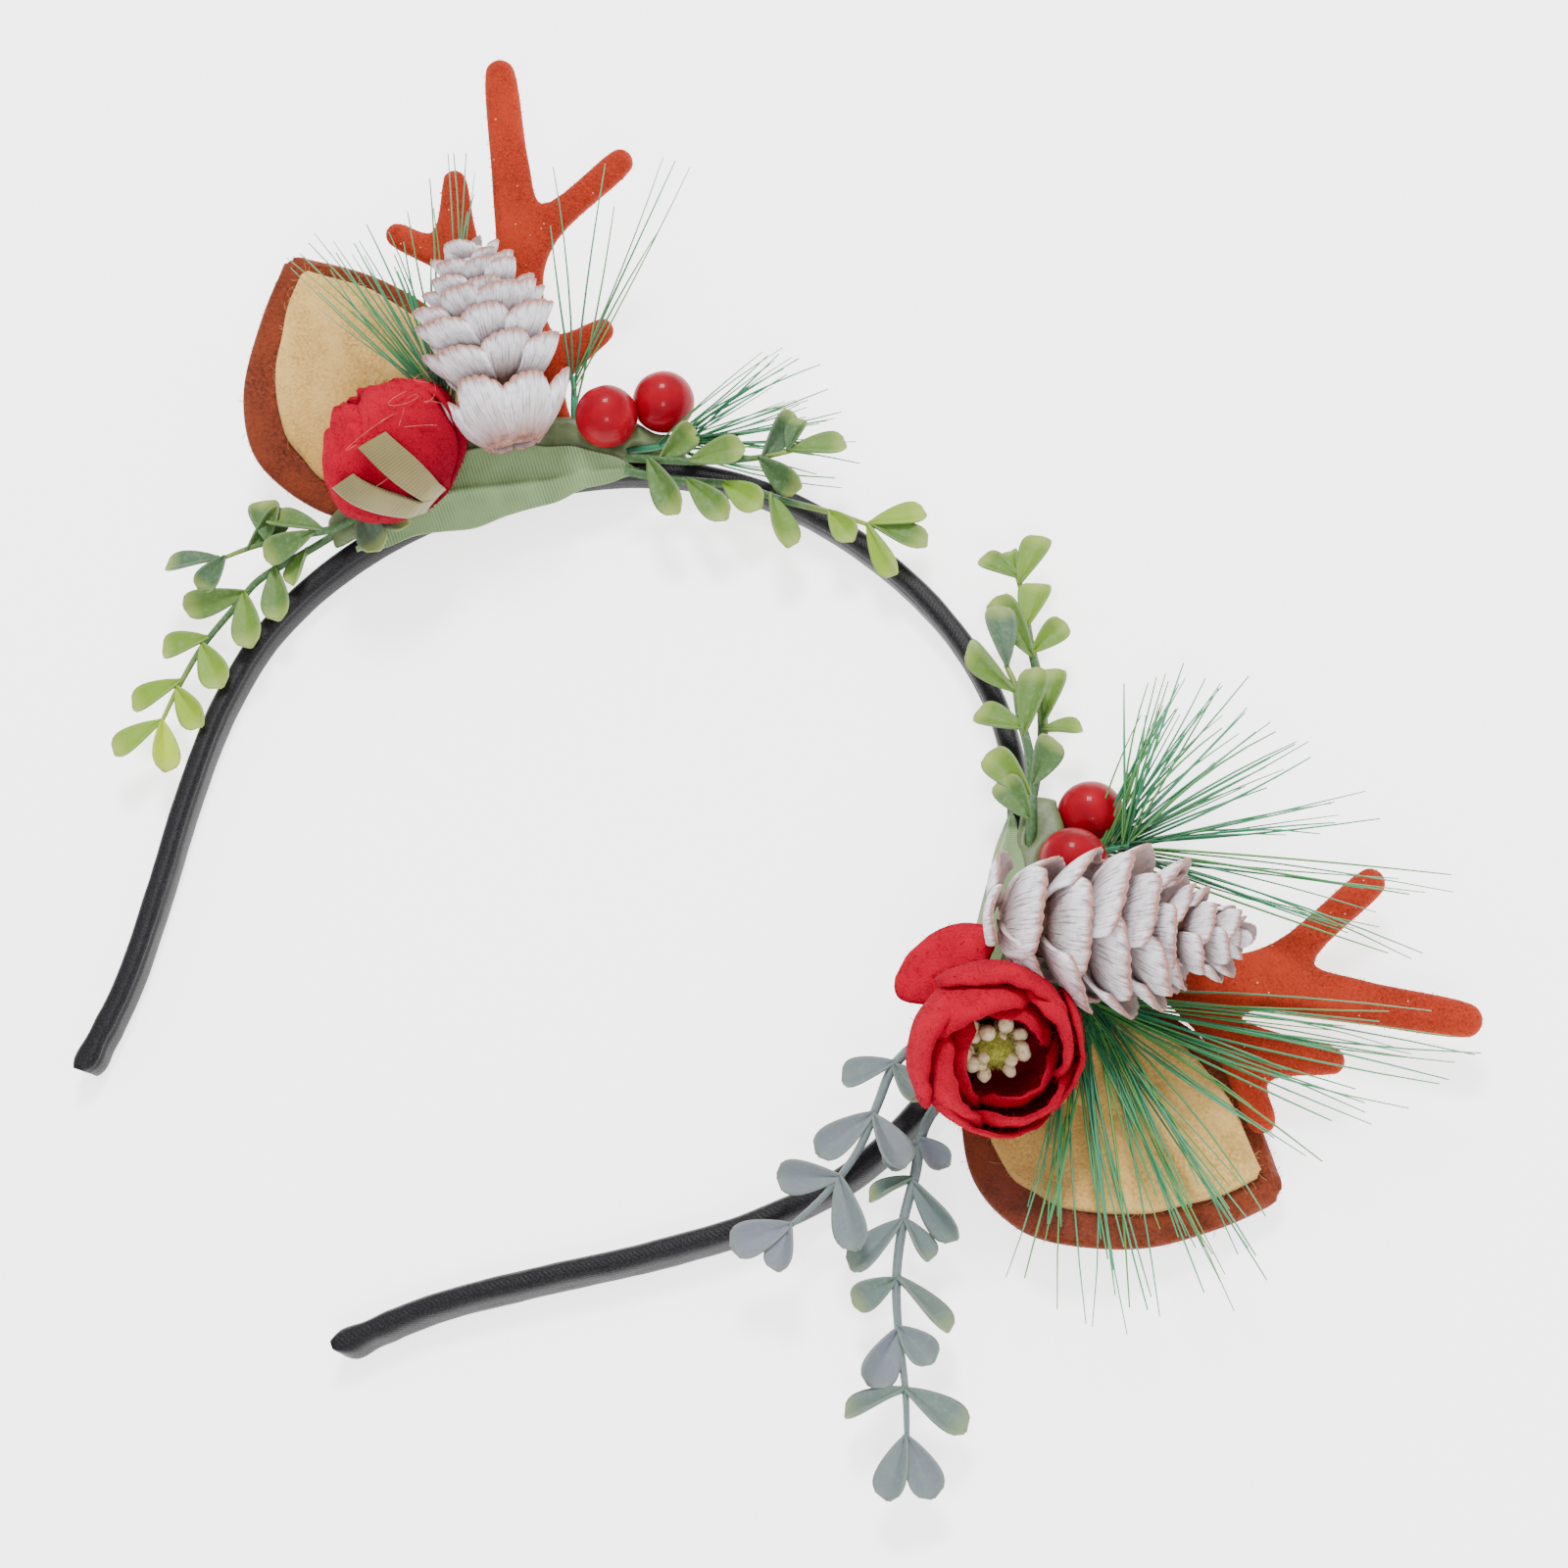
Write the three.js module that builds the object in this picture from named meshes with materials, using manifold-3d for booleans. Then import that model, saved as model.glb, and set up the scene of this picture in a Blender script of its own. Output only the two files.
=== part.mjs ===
// Reindeer antler headband, lying flat on its side as it does on a table.
// A satin-wrapped U band carries two glued clusters, each with a felt ear, a flocked antler, a pine cone,
// a ranunculus flower, two berries, a fabric leaf, leafy sprigs and sprays of pine needles.
// Millimetres, +Z up, +X from the left arm to the right arm, +Y from the band's tips to its apex.
import * as THREE from "three";
import Module from "manifold-3d";
import { mergeVertices } from "three/addons/utils/BufferGeometryUtils.js";

const wasm = await Module();
wasm.setup();

// Band
const BAND_HALF_SPAN = 69.6;
const BAND_RISE = 143.6;
const BAND_WIDTH = 6;
const BAND_THICK = 3.6;
const BAND_STEPS = 48;
const TIP_LENGTH = 10;
const TIP_FLARE = 1.25;

// Clearance between pieces that touch, and where a cluster sits along the band from its apex
const GAP = 0.3;
const CLUSTER_ARC = 73;
const PLANE_LIFT = 0.7;

// Glue bed on the band's outer face
const BED_DEPTH = 8;
const BED_THICK = 3.5;
const CONE_SEAT_RADIUS = 4.5;

// Felt ears
const EAR_LENGTH = 47.5;
const EAR_WIDTH = 38;
const EAR_THICK = 1.5;
const EAR_LINING_THICK = 1.2;
const EAR_LINING_INSET = 4.4;
const EAR_CUP = 5;

// Antlers
const ANTLER_LENGTH = 65;
const ANTLER_THICK = 3.6;
const ANTLER_TRUNK_WIDTH = 7.2;
const TINE_RADIUS = 1.95;
const ANTLER_EDGE = 1.1;

// Pine cones
const CONE_LENGTH = 34;
const CONE_RADIUS = 10.8;
const CONE_CORE_SHARE = 0.5;
const SCALE_THICK = 1;
const SCALE_REACH = 6.5;

// Flowers
const CUP_RADIUS = 11.6;
const CUP_HEIGHT = 17;
const BUD_RADIUS = 9.6;
const BUD_HEIGHT = 22;
const PETAL_THICK = 1;
const SEPAL_WIDTH = 4;
const SEPAL_LENGTH = 13;
const STAMEN_RADIUS = 1.2;

// Berries
const BERRY_RADIUS = 4.85;

// Fabric leaf
const PAD_WIDTH = 7.8;
const PAD_OVERHANG = 5.5;
const PAD_THICK = 1;
const PAD_SLOPE = 0.57;

// Sprigs and pine needles
const STEM_RADIUS = 0.75;
const LEAF_WIDTH = 4.2;
const LEAF_THICK = 0.9;
const NEEDLE_WIDTH = 1.1;
const NEEDLE_HEAD_RADIUS = 0.9;

// Right half of the band's centre line from the apex to the tip, as shares of the half span and the rise
const BAND_SHAPE = [
  { out: 0, up: 1 },
  { out: 0.3, up: 0.982 },
  { out: 0.56, up: 0.925 },
  { out: 0.77, up: 0.83 },
  { out: 0.92, up: 0.715 },
  { out: 0.99, up: 0.6 },
  { out: 0.99, up: 0.485 },
  { out: 0.92, up: 0.385 },
  { out: 0.8, up: 0.285 },
  { out: 0.665, up: 0.19 },
  { out: 0.54, up: 0.095 },
  { out: 0.453, up: 0 },
];

// Antler tines in order up one side and down the other, as shares of the antler's length from its root.
// heading is the tine's direction in degrees from the trunk's, turned away from the other tines' side.
const TINES = [
  { name: "brow", across: 0.163, along: 0.28, heading: -52, size: 1 },
  { name: "fork", across: 0.266, along: 0.697, heading: -50, size: 1.1 },
  { name: "main", across: -0.006, along: 0.966, heading: 2, size: 1.25 },
  { name: "low upper", across: -0.158, along: 0.709, heading: 8, size: 1 },
  { name: "low outer", across: -0.32, along: 0.598, heading: 52, size: 1 },
];
// Outline points between one tine and the next, starting at the root on the apex side
const ANTLER_EDGES = [
  [{ across: 0.5, along: 0 }, { across: 0.48, along: 0.14 }],
  [{ across: 0.4, along: 0.28 }, { across: 0.3, along: 0.42 }, { across: 0.75, along: 0.515 }],
  [{ across: 0.5, along: 0.61 }, { across: 0.33, along: 0.72 }],
  [{ across: -0.58, along: 0.66 }, { across: -0.75, along: 0.5 }, { across: -0.95, along: 0.49 }, { across: -1.1, along: 0.58 }],
  [{ across: -2.1, along: 0.58 }],
  [{ across: -1.85, along: 0.46 }, { across: -1.1, along: 0.35 }, { across: -0.58, along: 0.24 }, { across: -0.5, along: 0 }],
];

// Half width of the felt ear along its length, as shares of half its width and of its length
const EAR_SHAPE = [
  { along: 0, half: 0.22 },
  { along: 0.1, half: 0.6 },
  { along: 0.22, half: 0.86 },
  { along: 0.36, half: 1 },
  { along: 0.5, half: 0.99 },
  { along: 0.65, half: 0.86 },
  { along: 0.8, half: 0.6 },
  { along: 0.92, half: 0.3 },
  { along: 1, half: 0.04 },
];
const EAR_COLUMNS = [-1, -0.55, 0, 0.55, 1];

// Rings of cone scales: where each starts and how far it stands out, as shares of the length and the radius
const CONE_TIERS = [
  { along: 0.0, radius: 0.78, scales: 5 },
  { along: 0.14, radius: 0.98, scales: 6 },
  { along: 0.3, radius: 1, scales: 6 },
  { along: 0.46, radius: 0.86, scales: 5 },
  { along: 0.61, radius: 0.66, scales: 5 },
  { along: 0.76, radius: 0.42, scales: 4 },
];

// Rings of petals, from the outside in; close is how far the rim leans in, as a share of the radius
const CUP_PETALS = [
  { count: 5, radius: 1, height: 0.9, half: 37, close: 0.9, turn: 0 },
  { count: 4, radius: 0.82, height: 1, half: 46, close: 0.88, turn: 40 },
  { count: 3, radius: 0.64, height: 0.9, half: 60, close: 0.86, turn: 15 },
];
const BUD_PETALS = [
  { count: 5, radius: 1, height: 0.86, half: 37, close: 0.78, turn: 0 },
  { count: 4, radius: 0.82, height: 1, half: 46, close: 0.62, turn: 40 },
];
const PETAL_PROFILE = [
  { up: 0, radius: 0.28, spread: 0.8 },
  { up: 0.4, radius: 0.97, spread: 1 },
];

// Where each piece of a cluster sits. along is toward the apex, out is away from the band in the cluster's
// own plane; lean is how far that plane is tipped up from the table. Points are [along, out, high], with high
// counted from the glue bed's underside, or from the band's top face in a sprig's stem. A leaf's at is its share
// of the stem.
const CLUSTERS = [
  {
    name: "left",
    armSide: -1,
    lean: 26,
    bed: { from: -25, to: 35 },
    ear: { along: -10.5, out: 0.2, turn: 11 },
    antler: { along: 14, out: 4, turn: -8.8 },
    cone: { base: [9.8, 4.6, 12], tip: [11.6, 38, 12.5], roll: 10 },
    flower: { base: [-4.8, 0.4, 11.2], top: [-14.7, 18.4, 11.6], roll: 20, bud: true },
    berries: [[24.6, 4.4, 6], [33.8, 4.6, 2]],
    pad: { from: -21, to: 27, reach: 1 },
    sprays: [
      {
        name: "ear",
        head: [[1, 7, 1], [0.5, 12, 1], [-1, 18, 3]],
        tips: [[-18, 43, 6], [-16, 45, 5], [-14, 46, 6], [-12, 41, 5], [-10, 45, 6], [-7, 44, 5],
          [-4, 46, 6], [-1, 44, 5], [3, 46, 6], [8, 50, 6], [12, 53, 6], [15, 52, 7]],
      },
      {
        name: "sparse",
        head: [[18.5, 3, 1.6], [19.5, 8, 1.4], [21, 13, 2]],
        tips: [[27.7, 46, 5], [36, 44, 5], [47, 41, 5], [49, 39, 6]],
      },
      {
        name: "apex",
        head: [[26, -1.4, 2.6], [31, -2.5, 4], [37, -3, 5]],
        tips: [[55, 6, 9], [57, 4, 7], [60, 2, 7], [60, -2, 6], [61, -6, 5], [60, -11, 5], [57, -16, 6]],
      },
    ],
    sprigs: [
      {
        name: "side",
        stem: [[-17, 0.4, 3.4], [-23, -1.8, 3.8], [-29, -1.2, 3.8], [-37, -0.4, 3.6], [-44, -0.8, 3.4]],
        leaves: [
          { at: 0.36, turn: -27, long: 10 }, { at: 0.42, turn: 20, long: 9 }, { at: 0.68, turn: -90, long: 8 },
          { at: 0.8, turn: -145, long: 9 }, { at: 0.98, turn: -12, long: 9 }, { at: 0.94, turn: 40, long: 7 },
        ],
      },
      {
        name: "arm",
        stem: [[-18, 1.6, 0.8], [-23, -0.6, 1], [-28, -2.4, 1.2], [-38, -5.4, 1.2], [-42, -8.6, 1.2],
          [-49, -14.6, 1.2], [-54, -20.6, 1], [-58, -26.6, 1]],
        leaves: [
          { at: 0.3, turn: 43, long: 7 }, { at: 0.38, turn: 67, long: 10 }, { at: 0.5, turn: -43, long: 11 },
          { at: 0.52, turn: 47, long: 11 }, { at: 0.69, turn: -44, long: 8 }, { at: 0.71, turn: 58, long: 9 },
          { at: 0.84, turn: -42, long: 9 }, { at: 0.86, turn: 55, long: 9 }, { at: 0.99, turn: -30, long: 9 },
          { at: 0.99, turn: 30, long: 9 },
        ],
      },
      {
        name: "apex_upper",
        stem: [[26, -5.5, 3.5], [30, -8, 4.6], [37, -11, 4.6], [46, -13.6, 4.6], [52, -14.4, 4.6]],
        leaves: [
          { at: 0.28, turn: 56, long: 8 }, { at: 0.46, turn: 12, long: 9 }, { at: 0.78, turn: 49, long: 9 },
          { at: 0.97, turn: 60, long: 6 }, { at: 0.22, turn: -51, long: 12 }, { at: 0.78, turn: -48, long: 9 },
          { at: 0.98, turn: -8, long: 9 },
        ],
      },
      {
        name: "apex_lower",
        stem: [[25, -8.4, 4.6], [31, -10.8, 2.4], [36, -13, 2], [42, -16, 2], [48, -21, 2], [55, -26, 2],
          [61, -31, 2]],
        leaves: [
          { at: 0.28, turn: -42, long: 11 }, { at: 0.44, turn: -27, long: 8 }, { at: 0.62, turn: -45, long: 11 },
          { at: 0.83, turn: -35, long: 7 }, { at: 0.98, turn: 32, long: 9 }, { at: 0.98, turn: -40, long: 10 },
          { at: 0.99, turn: -4, long: 10 },
        ],
      },
    ],
  },
  {
    name: "right",
    armSide: 1,
    lean: 3,
    bed: { from: -25, to: 22 },
    ear: { along: -21, out: -2.8, turn: 11 },
    antler: { along: 2, out: 3, turn: 3 },
    cone: { base: [-3, 1.2, 12], tip: [-0.3, 35, 12.5], roll: 0 },
    flower: { base: [-18, 0.6, 6.4], top: [-27, 9.6, 20.2], roll: 0, bud: false },
    berries: [[21.4, 6.4, -1.3], [11.2, 6.8, 4]],
    pad: { from: -13, to: 19, reach: 0.4 },
    sprays: [
      {
        name: "ear",
        head: [[-6, 4, 1.4], [-7.6, 9, 1.3], [-9.5, 15, 2.2]],
        tips: [[-50.6, 13.6, 3], [-54, 19, 3], [-55.7, 24.4, 4], [-55.5, 29, 3], [-52.6, 33, 4], [-41, 33, 3],
          [-48, 38, 3], [-50, 42.6, 4], [-45, 46, 4], [-36, 44, 3], [-27, 50, 3], [-21, 55.7, 4],
          [-17.5, 60, 3], [-10.3, 65, 4], [-8.4, 67.4, 3], [-6.6, 65, 4]],
      },
      {
        name: "apex",
        head: [[15.6, 2.6, 1.4], [15.4, 8, -0.6], [15.6, 14, 2.6]],
        tips: [[40.6, 12, 6], [43, 14, 5], [44.5, 16.5, 6], [43, 20, 5], [42, 22.6, 6], [39, 27, 5],
          [36.6, 31, 6], [34, 35, 5], [31.8, 37.8, 6], [27.5, 46.4, 6], [24, 49, 5], [13.8, 61, 6],
          [9.6, 51, 5], [3, 57, 6]],
      },
    ],
    sprigs: [
      {
        name: "apex_front",
        stem: [[11, 1.4, 2.6], [16, 0.9, 4], [22, -0.5, 4], [28, -2.2, 3.8], [34, -5, 3.8], [39, -7, 3.8],
          [42, -9, 3.8]],
        leaves: [
          { at: 0.2, turn: -36, long: 8 }, { at: 0.3, turn: -39, long: 10 }, { at: 0.36, turn: 26, long: 8 },
          { at: 0.58, turn: 24, long: 11 }, { at: 0.6, turn: -54, long: 8 }, { at: 0.8, turn: -31, long: 11 },
          { at: 0.99, turn: 15, long: 10 },
        ],
      },
      {
        name: "apex_back",
        stem: [[18, -0.6, 1], [25, -1, 0.6], [33, -1.6, 0.6], [42, -4.4, 0.6], [48, -7, 0.6], [56, -10, 0.6],
          [60, -12, 0.6]],
        leaves: [
          { at: 0.34, turn: 90, long: 6 }, { at: 0.36, turn: 13, long: 10 }, { at: 0.6, turn: -18, long: 12 },
          { at: 0.62, turn: 60, long: 7 }, { at: 0.72, turn: 20, long: 8 }, { at: 0.94, turn: -45, long: 7 },
          { at: 0.9, turn: 38, long: 9 }, { at: 0.99, turn: 0, long: 4 },
        ],
      },
      {
        name: "arm_inner",
        stem: [[-12.2, -0.2, 3.2], [-15, -3.4, 4.4], [-20, -7.4, 4.6], [-24, -10, 4.4], [-30, -11, 4], [-37, -12, 4],
          [-44, -15, 3.6], [-50, -19, 3.6]],
        leaves: [
          { at: 0.42, turn: 38, long: 8 }, { at: 0.43, turn: -71, long: 7 }, { at: 0.6, turn: 33, long: 10 },
          { at: 0.61, turn: -50, long: 9 }, { at: 0.8, turn: 52, long: 9 }, { at: 0.8, turn: -51, long: 11 },
          { at: 0.99, turn: 20, long: 9 }, { at: 0.99, turn: -35, long: 7 },
        ],
      },
      {
        name: "arm_outer",
        stem: [[-17, 2, 2.4], [-24, -1.8, 1], [-31, -4.4, 0.6], [-38, -4, 0.6], [-45, -4, 0.6], [-53, -3, 0.6],
          [-60, -1, 0.6], [-68, 2, 0.6], [-75, 4, 0.6]],
        leaves: [
          { at: 0.29, turn: 47, long: 6 }, { at: 0.28, turn: -58, long: 6 }, { at: 0.39, turn: 56, long: 7 },
          { at: 0.39, turn: -46, long: 11 }, { at: 0.5, turn: 37, long: 10 }, { at: 0.5, turn: -42, long: 7 },
          { at: 0.63, turn: 58, long: 7 }, { at: 0.63, turn: -45, long: 11 }, { at: 0.75, turn: 30, long: 9 },
          { at: 0.75, turn: -39, long: 7 }, { at: 0.88, turn: 73, long: 9 }, { at: 0.88, turn: -51, long: 10 },
          { at: 0.99, turn: 18, long: 9 }, { at: 0.99, turn: -22, long: 9 },
        ],
      },
    ],
  },
];

// Materials
const finish = (color, roughness) => new THREE.MeshStandardMaterial({ color, roughness, metalness: 0 });
const MATERIALS = {
  satin: finish(0x1d1b1e, 0.45),
  glue: finish(0xd8d2bd, 0.5),
  brownFelt: finish(0x6f2f1b, 1),
  sandFelt: finish(0xcdb27a, 1),
  flock: finish(0xb4481f, 0.95),
  cone: finish(0xc9bfc6, 0.85),
  petal: finish(0xc8102e, 0.9),
  stamen: finish(0xe6d7b4, 0.8),
  ribbon: finish(0x8e9a62, 0.8),
  berry: finish(0xc4122a, 0.15),
  leafCloth: finish(0x7f9a5e, 0.7),
  frostedLeaf: finish(0x7c9a7a, 0.6),
  needle: finish(0x2f8f5d, 0.5),
};

const radians = THREE.MathUtils.degToRad;
const vector = (x, y, z) => new THREE.Vector3(x, y, z);

// Meshes from points and triangles, turned so that their faces point out
function closedMesh(points, faces) {
  let volume = 0;
  for (const [a, b, c] of faces) {
    volume += points[a].dot(points[b].clone().cross(points[c]));
  }
  const order = volume < 0 ? ([a, b, c]) => [a, c, b] : (face) => face;
  const geometry = new THREE.BufferGeometry();
  geometry.setAttribute("position", new THREE.Float32BufferAttribute(points.flatMap((p) => p.toArray()), 3));
  geometry.setIndex(faces.flatMap(order));
  return geometry;
}

// A closed skin over rings that each have the same number of points
function loft(rings) {
  const sides = rings[0].length;
  const points = rings.flat();
  const faces = [];
  for (let i = 0; i + 1 < rings.length; i++) {
    for (let j = 0; j < sides; j++) {
      const a = i * sides + j;
      const b = i * sides + ((j + 1) % sides);
      faces.push([a, b, b + sides], [a, b + sides, a + sides]);
    }
  }
  const last = (rings.length - 1) * sides;
  for (let j = 1; j + 1 < sides; j++) {
    faces.push([0, j + 1, j], [last, last + j, last + j + 1]);
  }
  return closedMesh(points, faces);
}

// A sheet of even thickness over a grid of points, given as rows
function sheet(rows, thickness) {
  const columns = rows[0].length;
  const cell = (i, j) => rows[Math.min(Math.max(i, 0), rows.length - 1)][Math.min(Math.max(j, 0), columns - 1)];
  const points = [[], []];
  rows.forEach((row, i) => row.forEach((p, j) => {
    const across = cell(i, j + 1).clone().sub(cell(i, j - 1));
    const along = cell(i + 1, j).clone().sub(cell(i - 1, j));
    const normal = across.cross(along).normalize();
    points[0].push(p.clone().addScaledVector(normal, thickness / 2));
    points[1].push(p.clone().addScaledVector(normal, -thickness / 2));
  }));
  const count = rows.length * columns;
  const faces = [];
  for (let i = 0; i + 1 < rows.length; i++) {
    for (let j = 0; j + 1 < columns; j++) {
      const a = i * columns + j;
      const quad = [a, a + 1, a + 1 + columns, a + columns];
      faces.push([quad[0], quad[1], quad[2]], [quad[0], quad[2], quad[3]]);
      faces.push([quad[0] + count, quad[2] + count, quad[1] + count]);
      faces.push([quad[0] + count, quad[3] + count, quad[2] + count]);
    }
  }
  const rim = [];
  for (let j = 0; j + 1 < columns; j++) rim.push([j + 1, j]);
  for (let i = 0; i + 1 < rows.length; i++) rim.push([i * columns, (i + 1) * columns]);
  for (let j = 0; j + 1 < columns; j++) rim.push([(rows.length - 1) * columns + j, (rows.length - 1) * columns + j + 1]);
  for (let i = rows.length - 1; i > 0; i--) rim.push([i * columns + columns - 1, (i - 1) * columns + columns - 1]);
  for (const [a, b] of rim) faces.push([a, b, b + count], [a, b + count, a + count]);
  return closedMesh([...points[0], ...points[1]], faces);
}

// A round rod through points, with a radius for each
function rod(points, radii, sides) {
  const rings = points.map((p, i) => {
    const before = points[Math.max(i - 1, 0)];
    const after = points[Math.min(i + 1, points.length - 1)];
    const tangent = after.clone().sub(before).normalize();
    const across = vector(0, 0, 1).cross(tangent).normalize();
    const raised = tangent.clone().cross(across);
    return Array.from({ length: sides }, (_, k) => {
      const angle = (2 * Math.PI * (k + 0.5)) / sides;
      return p.clone().addScaledVector(across, radii[i] * Math.cos(angle)).addScaledVector(raised, radii[i] * Math.sin(angle));
    });
  });
  return loft(rings);
}

// A closed solid of revolution about Y from rows of [height, radius]
function turned(rows, sides) {
  const profile = [vector(0, rows[0][0], 0), ...rows.map(([y, r]) => vector(r, y, 0)), vector(0, rows.at(-1)[0], 0)];
  return bare(new THREE.LatheGeometry(profile.map((p) => new THREE.Vector2(p.x, p.y)), sides));
}

// Merged positions only, as a boolean needs, facing out
function bare(geometry) {
  const copy = geometry.clone();
  copy.deleteAttribute("normal");
  copy.deleteAttribute("uv");
  const merged = mergeVertices(copy, 1e-4);
  const position = merged.getAttribute("position");
  const points = Array.from({ length: position.count }, (_, i) => new THREE.Vector3().fromBufferAttribute(position, i));
  const index = merged.getIndex().array;
  const faces = [];
  for (let i = 0; i < index.length; i += 3) {
    const face = [index[i], index[i + 1], index[i + 2]];
    if (new Set(face).size === 3) faces.push(face);
  }
  return closedMesh(points, faces);
}

const solidOf = (geometry) => new wasm.Manifold(new wasm.Mesh({
  numProp: 3,
  vertProperties: new Float32Array(geometry.getAttribute("position").array),
  triVerts: new Uint32Array(geometry.getIndex().array),
}));

function geometryOf(solid) {
  const mesh = solid.getMesh();
  const geometry = new THREE.BufferGeometry();
  const places = new Float32Array(mesh.numVert * 3);
  for (let i = 0; i < mesh.numVert; i++) {
    for (let k = 0; k < 3; k++) places[i * 3 + k] = mesh.vertProperties[i * mesh.numProp + k];
  }
  geometry.setAttribute("position", new THREE.BufferAttribute(places, 3));
  geometry.setIndex(new THREE.BufferAttribute(new Uint32Array(mesh.triVerts), 1));
  return geometry;
}

const joined = (pieces) => pieces.map(solidOf).reduce((whole, piece) => whole.add(piece));
const fuse = (pieces) => geometryOf(joined(pieces));

// Joins petals and leaves the outer skin alone, so that no hollow is sealed between them
function fuseSkin(pieces) {
  const shells = joined(pieces).decompose();
  return geometryOf(shells.reduce((most, shell) => (shell.volume() > most.volume() ? shell : most)));
}

const carve = (piece, tools) => geometryOf(tools.map(solidOf).reduce((rest, tool) => rest.subtract(tool), solidOf(piece)));

function mapped(geometry, change) {
  const position = geometry.getAttribute("position");
  const points = Array.from({ length: position.count }, (_, i) => change(new THREE.Vector3().fromBufferAttribute(position, i)));
  const index = Array.from(geometry.getIndex().array);
  const faces = [];
  for (let i = 0; i < index.length; i += 3) faces.push([index[i], index[i + 1], index[i + 2]]);
  return closedMesh(points, faces);
}

// Stands a geometry made along Y between two points, rolled about its own axis
function stood(geometry, base, top, roll = 0) {
  const axis = top.clone().sub(base).normalize();
  const turn = new THREE.Quaternion().setFromUnitVectors(vector(0, 1, 0), axis);
  const spin = new THREE.Quaternion().setFromAxisAngle(vector(0, 1, 0), radians(roll));
  return mapped(geometry, (p) => p.applyQuaternion(spin).applyQuaternion(turn).add(base));
}

// Band
const bandHeight = BAND_WIDTH / 2;
const shapePoint = ({ out, up }, side) => vector(side * out * BAND_HALF_SPAN, up * BAND_RISE, bandHeight);
const bandCurve = new THREE.CatmullRomCurve3([
  ...BAND_SHAPE.slice(1).reverse().map((row) => shapePoint(row, -1)),
  ...BAND_SHAPE.map((row) => shapePoint(row, 1)),
], false, "centripetal");
const bandLength = bandCurve.getLength();

function bandFrame(share) {
  const tangent = bandCurve.getTangentAt(share);
  return { point: bandCurve.getPointAt(share), tangent, outward: vector(-tangent.y, tangent.x, 0) };
}

function band(extra = 0) {
  const sides = 8;
  const rings = [];
  for (let i = 0; i <= BAND_STEPS; i++) {
    const share = i / BAND_STEPS;
    const { point, outward } = bandFrame(share);
    const fromTip = Math.min(share, 1 - share) * bandLength;
    const flare = 1 + (TIP_FLARE - 1) * Math.max(0, 1 - fromTip / TIP_LENGTH);
    const ring = [];
    for (let k = 0; k < sides; k++) {
      const angle = (2 * Math.PI * (k + 0.5)) / sides;
      const bulge = (value) => Math.sign(value) * Math.abs(value) ** 0.6;
      const outwards = bulge(Math.cos(angle)) * (BAND_THICK / 2 + extra) * (2 - flare);
      const upwards = bulge(Math.sin(angle)) * (BAND_WIDTH / 2 + extra);
      ring.push(point.clone().addScaledVector(outward, outwards).add(vector(0, 0, upwards)));
    }
    rings.push(ring);
  }
  return loft(rings);
}

// A cluster's own frame: x toward the apex, y away from the band, z up. The right one is a mirror copy.
function clusterFrame(armSide) {
  const { point, tangent, outward } = bandFrame(0.5 + (armSide * CLUSTER_ARC) / bandLength);
  return { origin: vector(point.x, point.y, 0), apexward: tangent.clone().multiplyScalar(-armSide), outward };
}

function toCluster(frame, p) {
  const offset = p.clone().sub(frame.origin);
  return vector(offset.dot(frame.apexward), offset.dot(frame.outward), p.z);
}

// How far out the band's centre line lies at a distance along a cluster
function bandOffset(frame, along) {
  let nearest = { miss: Infinity, out: 0 };
  const start = 0.5 + (frame.armSide * CLUSTER_ARC) / bandLength;
  for (let step = -60; step <= 60; step++) {
    const local = toCluster(frame, bandCurve.getPointAt(THREE.MathUtils.clamp(start + step / bandLength, 0, 1)));
    const miss = Math.abs(local.x - along);
    if (miss < nearest.miss) nearest = { miss, out: local.y };
  }
  return nearest.out;
}

// From a cluster's leaning plane to its upright frame
function leaned(frame, p) {
  const tip = radians(frame.lean);
  const y = p.y * Math.cos(tip) - p.z * Math.sin(tip);
  const z = p.y * Math.sin(tip) + p.z * Math.cos(tip);
  return vector(p.x, y + BAND_THICK / 2 + GAP, z + PLANE_LIFT);
}

// Heights of the layers above the cluster's plane
const earLow = GAP;
const liningLow = earLow + EAR_THICK + 2 * GAP;
const antlerLow = earLow + EAR_THICK + GAP;
const bedLow = antlerLow + ANTLER_THICK + GAP;
const overBed = ([along, out, high]) => vector(along, out, bedLow + high);
const overBand = ([along, out, high]) => vector(along, out, BAND_WIDTH + high);

// Felt ear: a pointed oval, curled up along the side away from the apex
function earHalf(along) {
  const rows = EAR_SHAPE;
  const i = Math.min(rows.findIndex((row) => row.along >= along - 1e-9) || 1, rows.length - 1);
  const share = (along - rows[i - 1].along) / (rows[i].along - rows[i - 1].along);
  return THREE.MathUtils.lerp(rows[i - 1].half, rows[i].half, share);
}

function earHeight(across, along) {
  const side = Math.max(0, -across / (EAR_WIDTH / 2));
  return EAR_CUP * side ** 2 * Math.sin(Math.PI * Math.min(1, Math.max(0, along / EAR_LENGTH)));
}

function earSheet(place, low, thickness, inset) {
  const spin = radians(place.turn);
  const rows = EAR_SHAPE.map((row) => {
    const along = inset + row.along * (EAR_LENGTH - 2.2 * inset);
    const half = Math.max(0.4, (EAR_WIDTH / 2) * earHalf(along / EAR_LENGTH) - (inset * Math.min(1, row.half * 1.4)));
    return EAR_COLUMNS.map((column) => {
      const across = column * (row.along === 1 ? 0.6 : half);
      const x = place.along + across * Math.cos(spin) - along * Math.sin(spin);
      const y = place.out + across * Math.sin(spin) + along * Math.cos(spin);
      return vector(x, y, low + thickness / 2 + earHeight(across, along));
    });
  });
  return sheet(rows, thickness);
}

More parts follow.
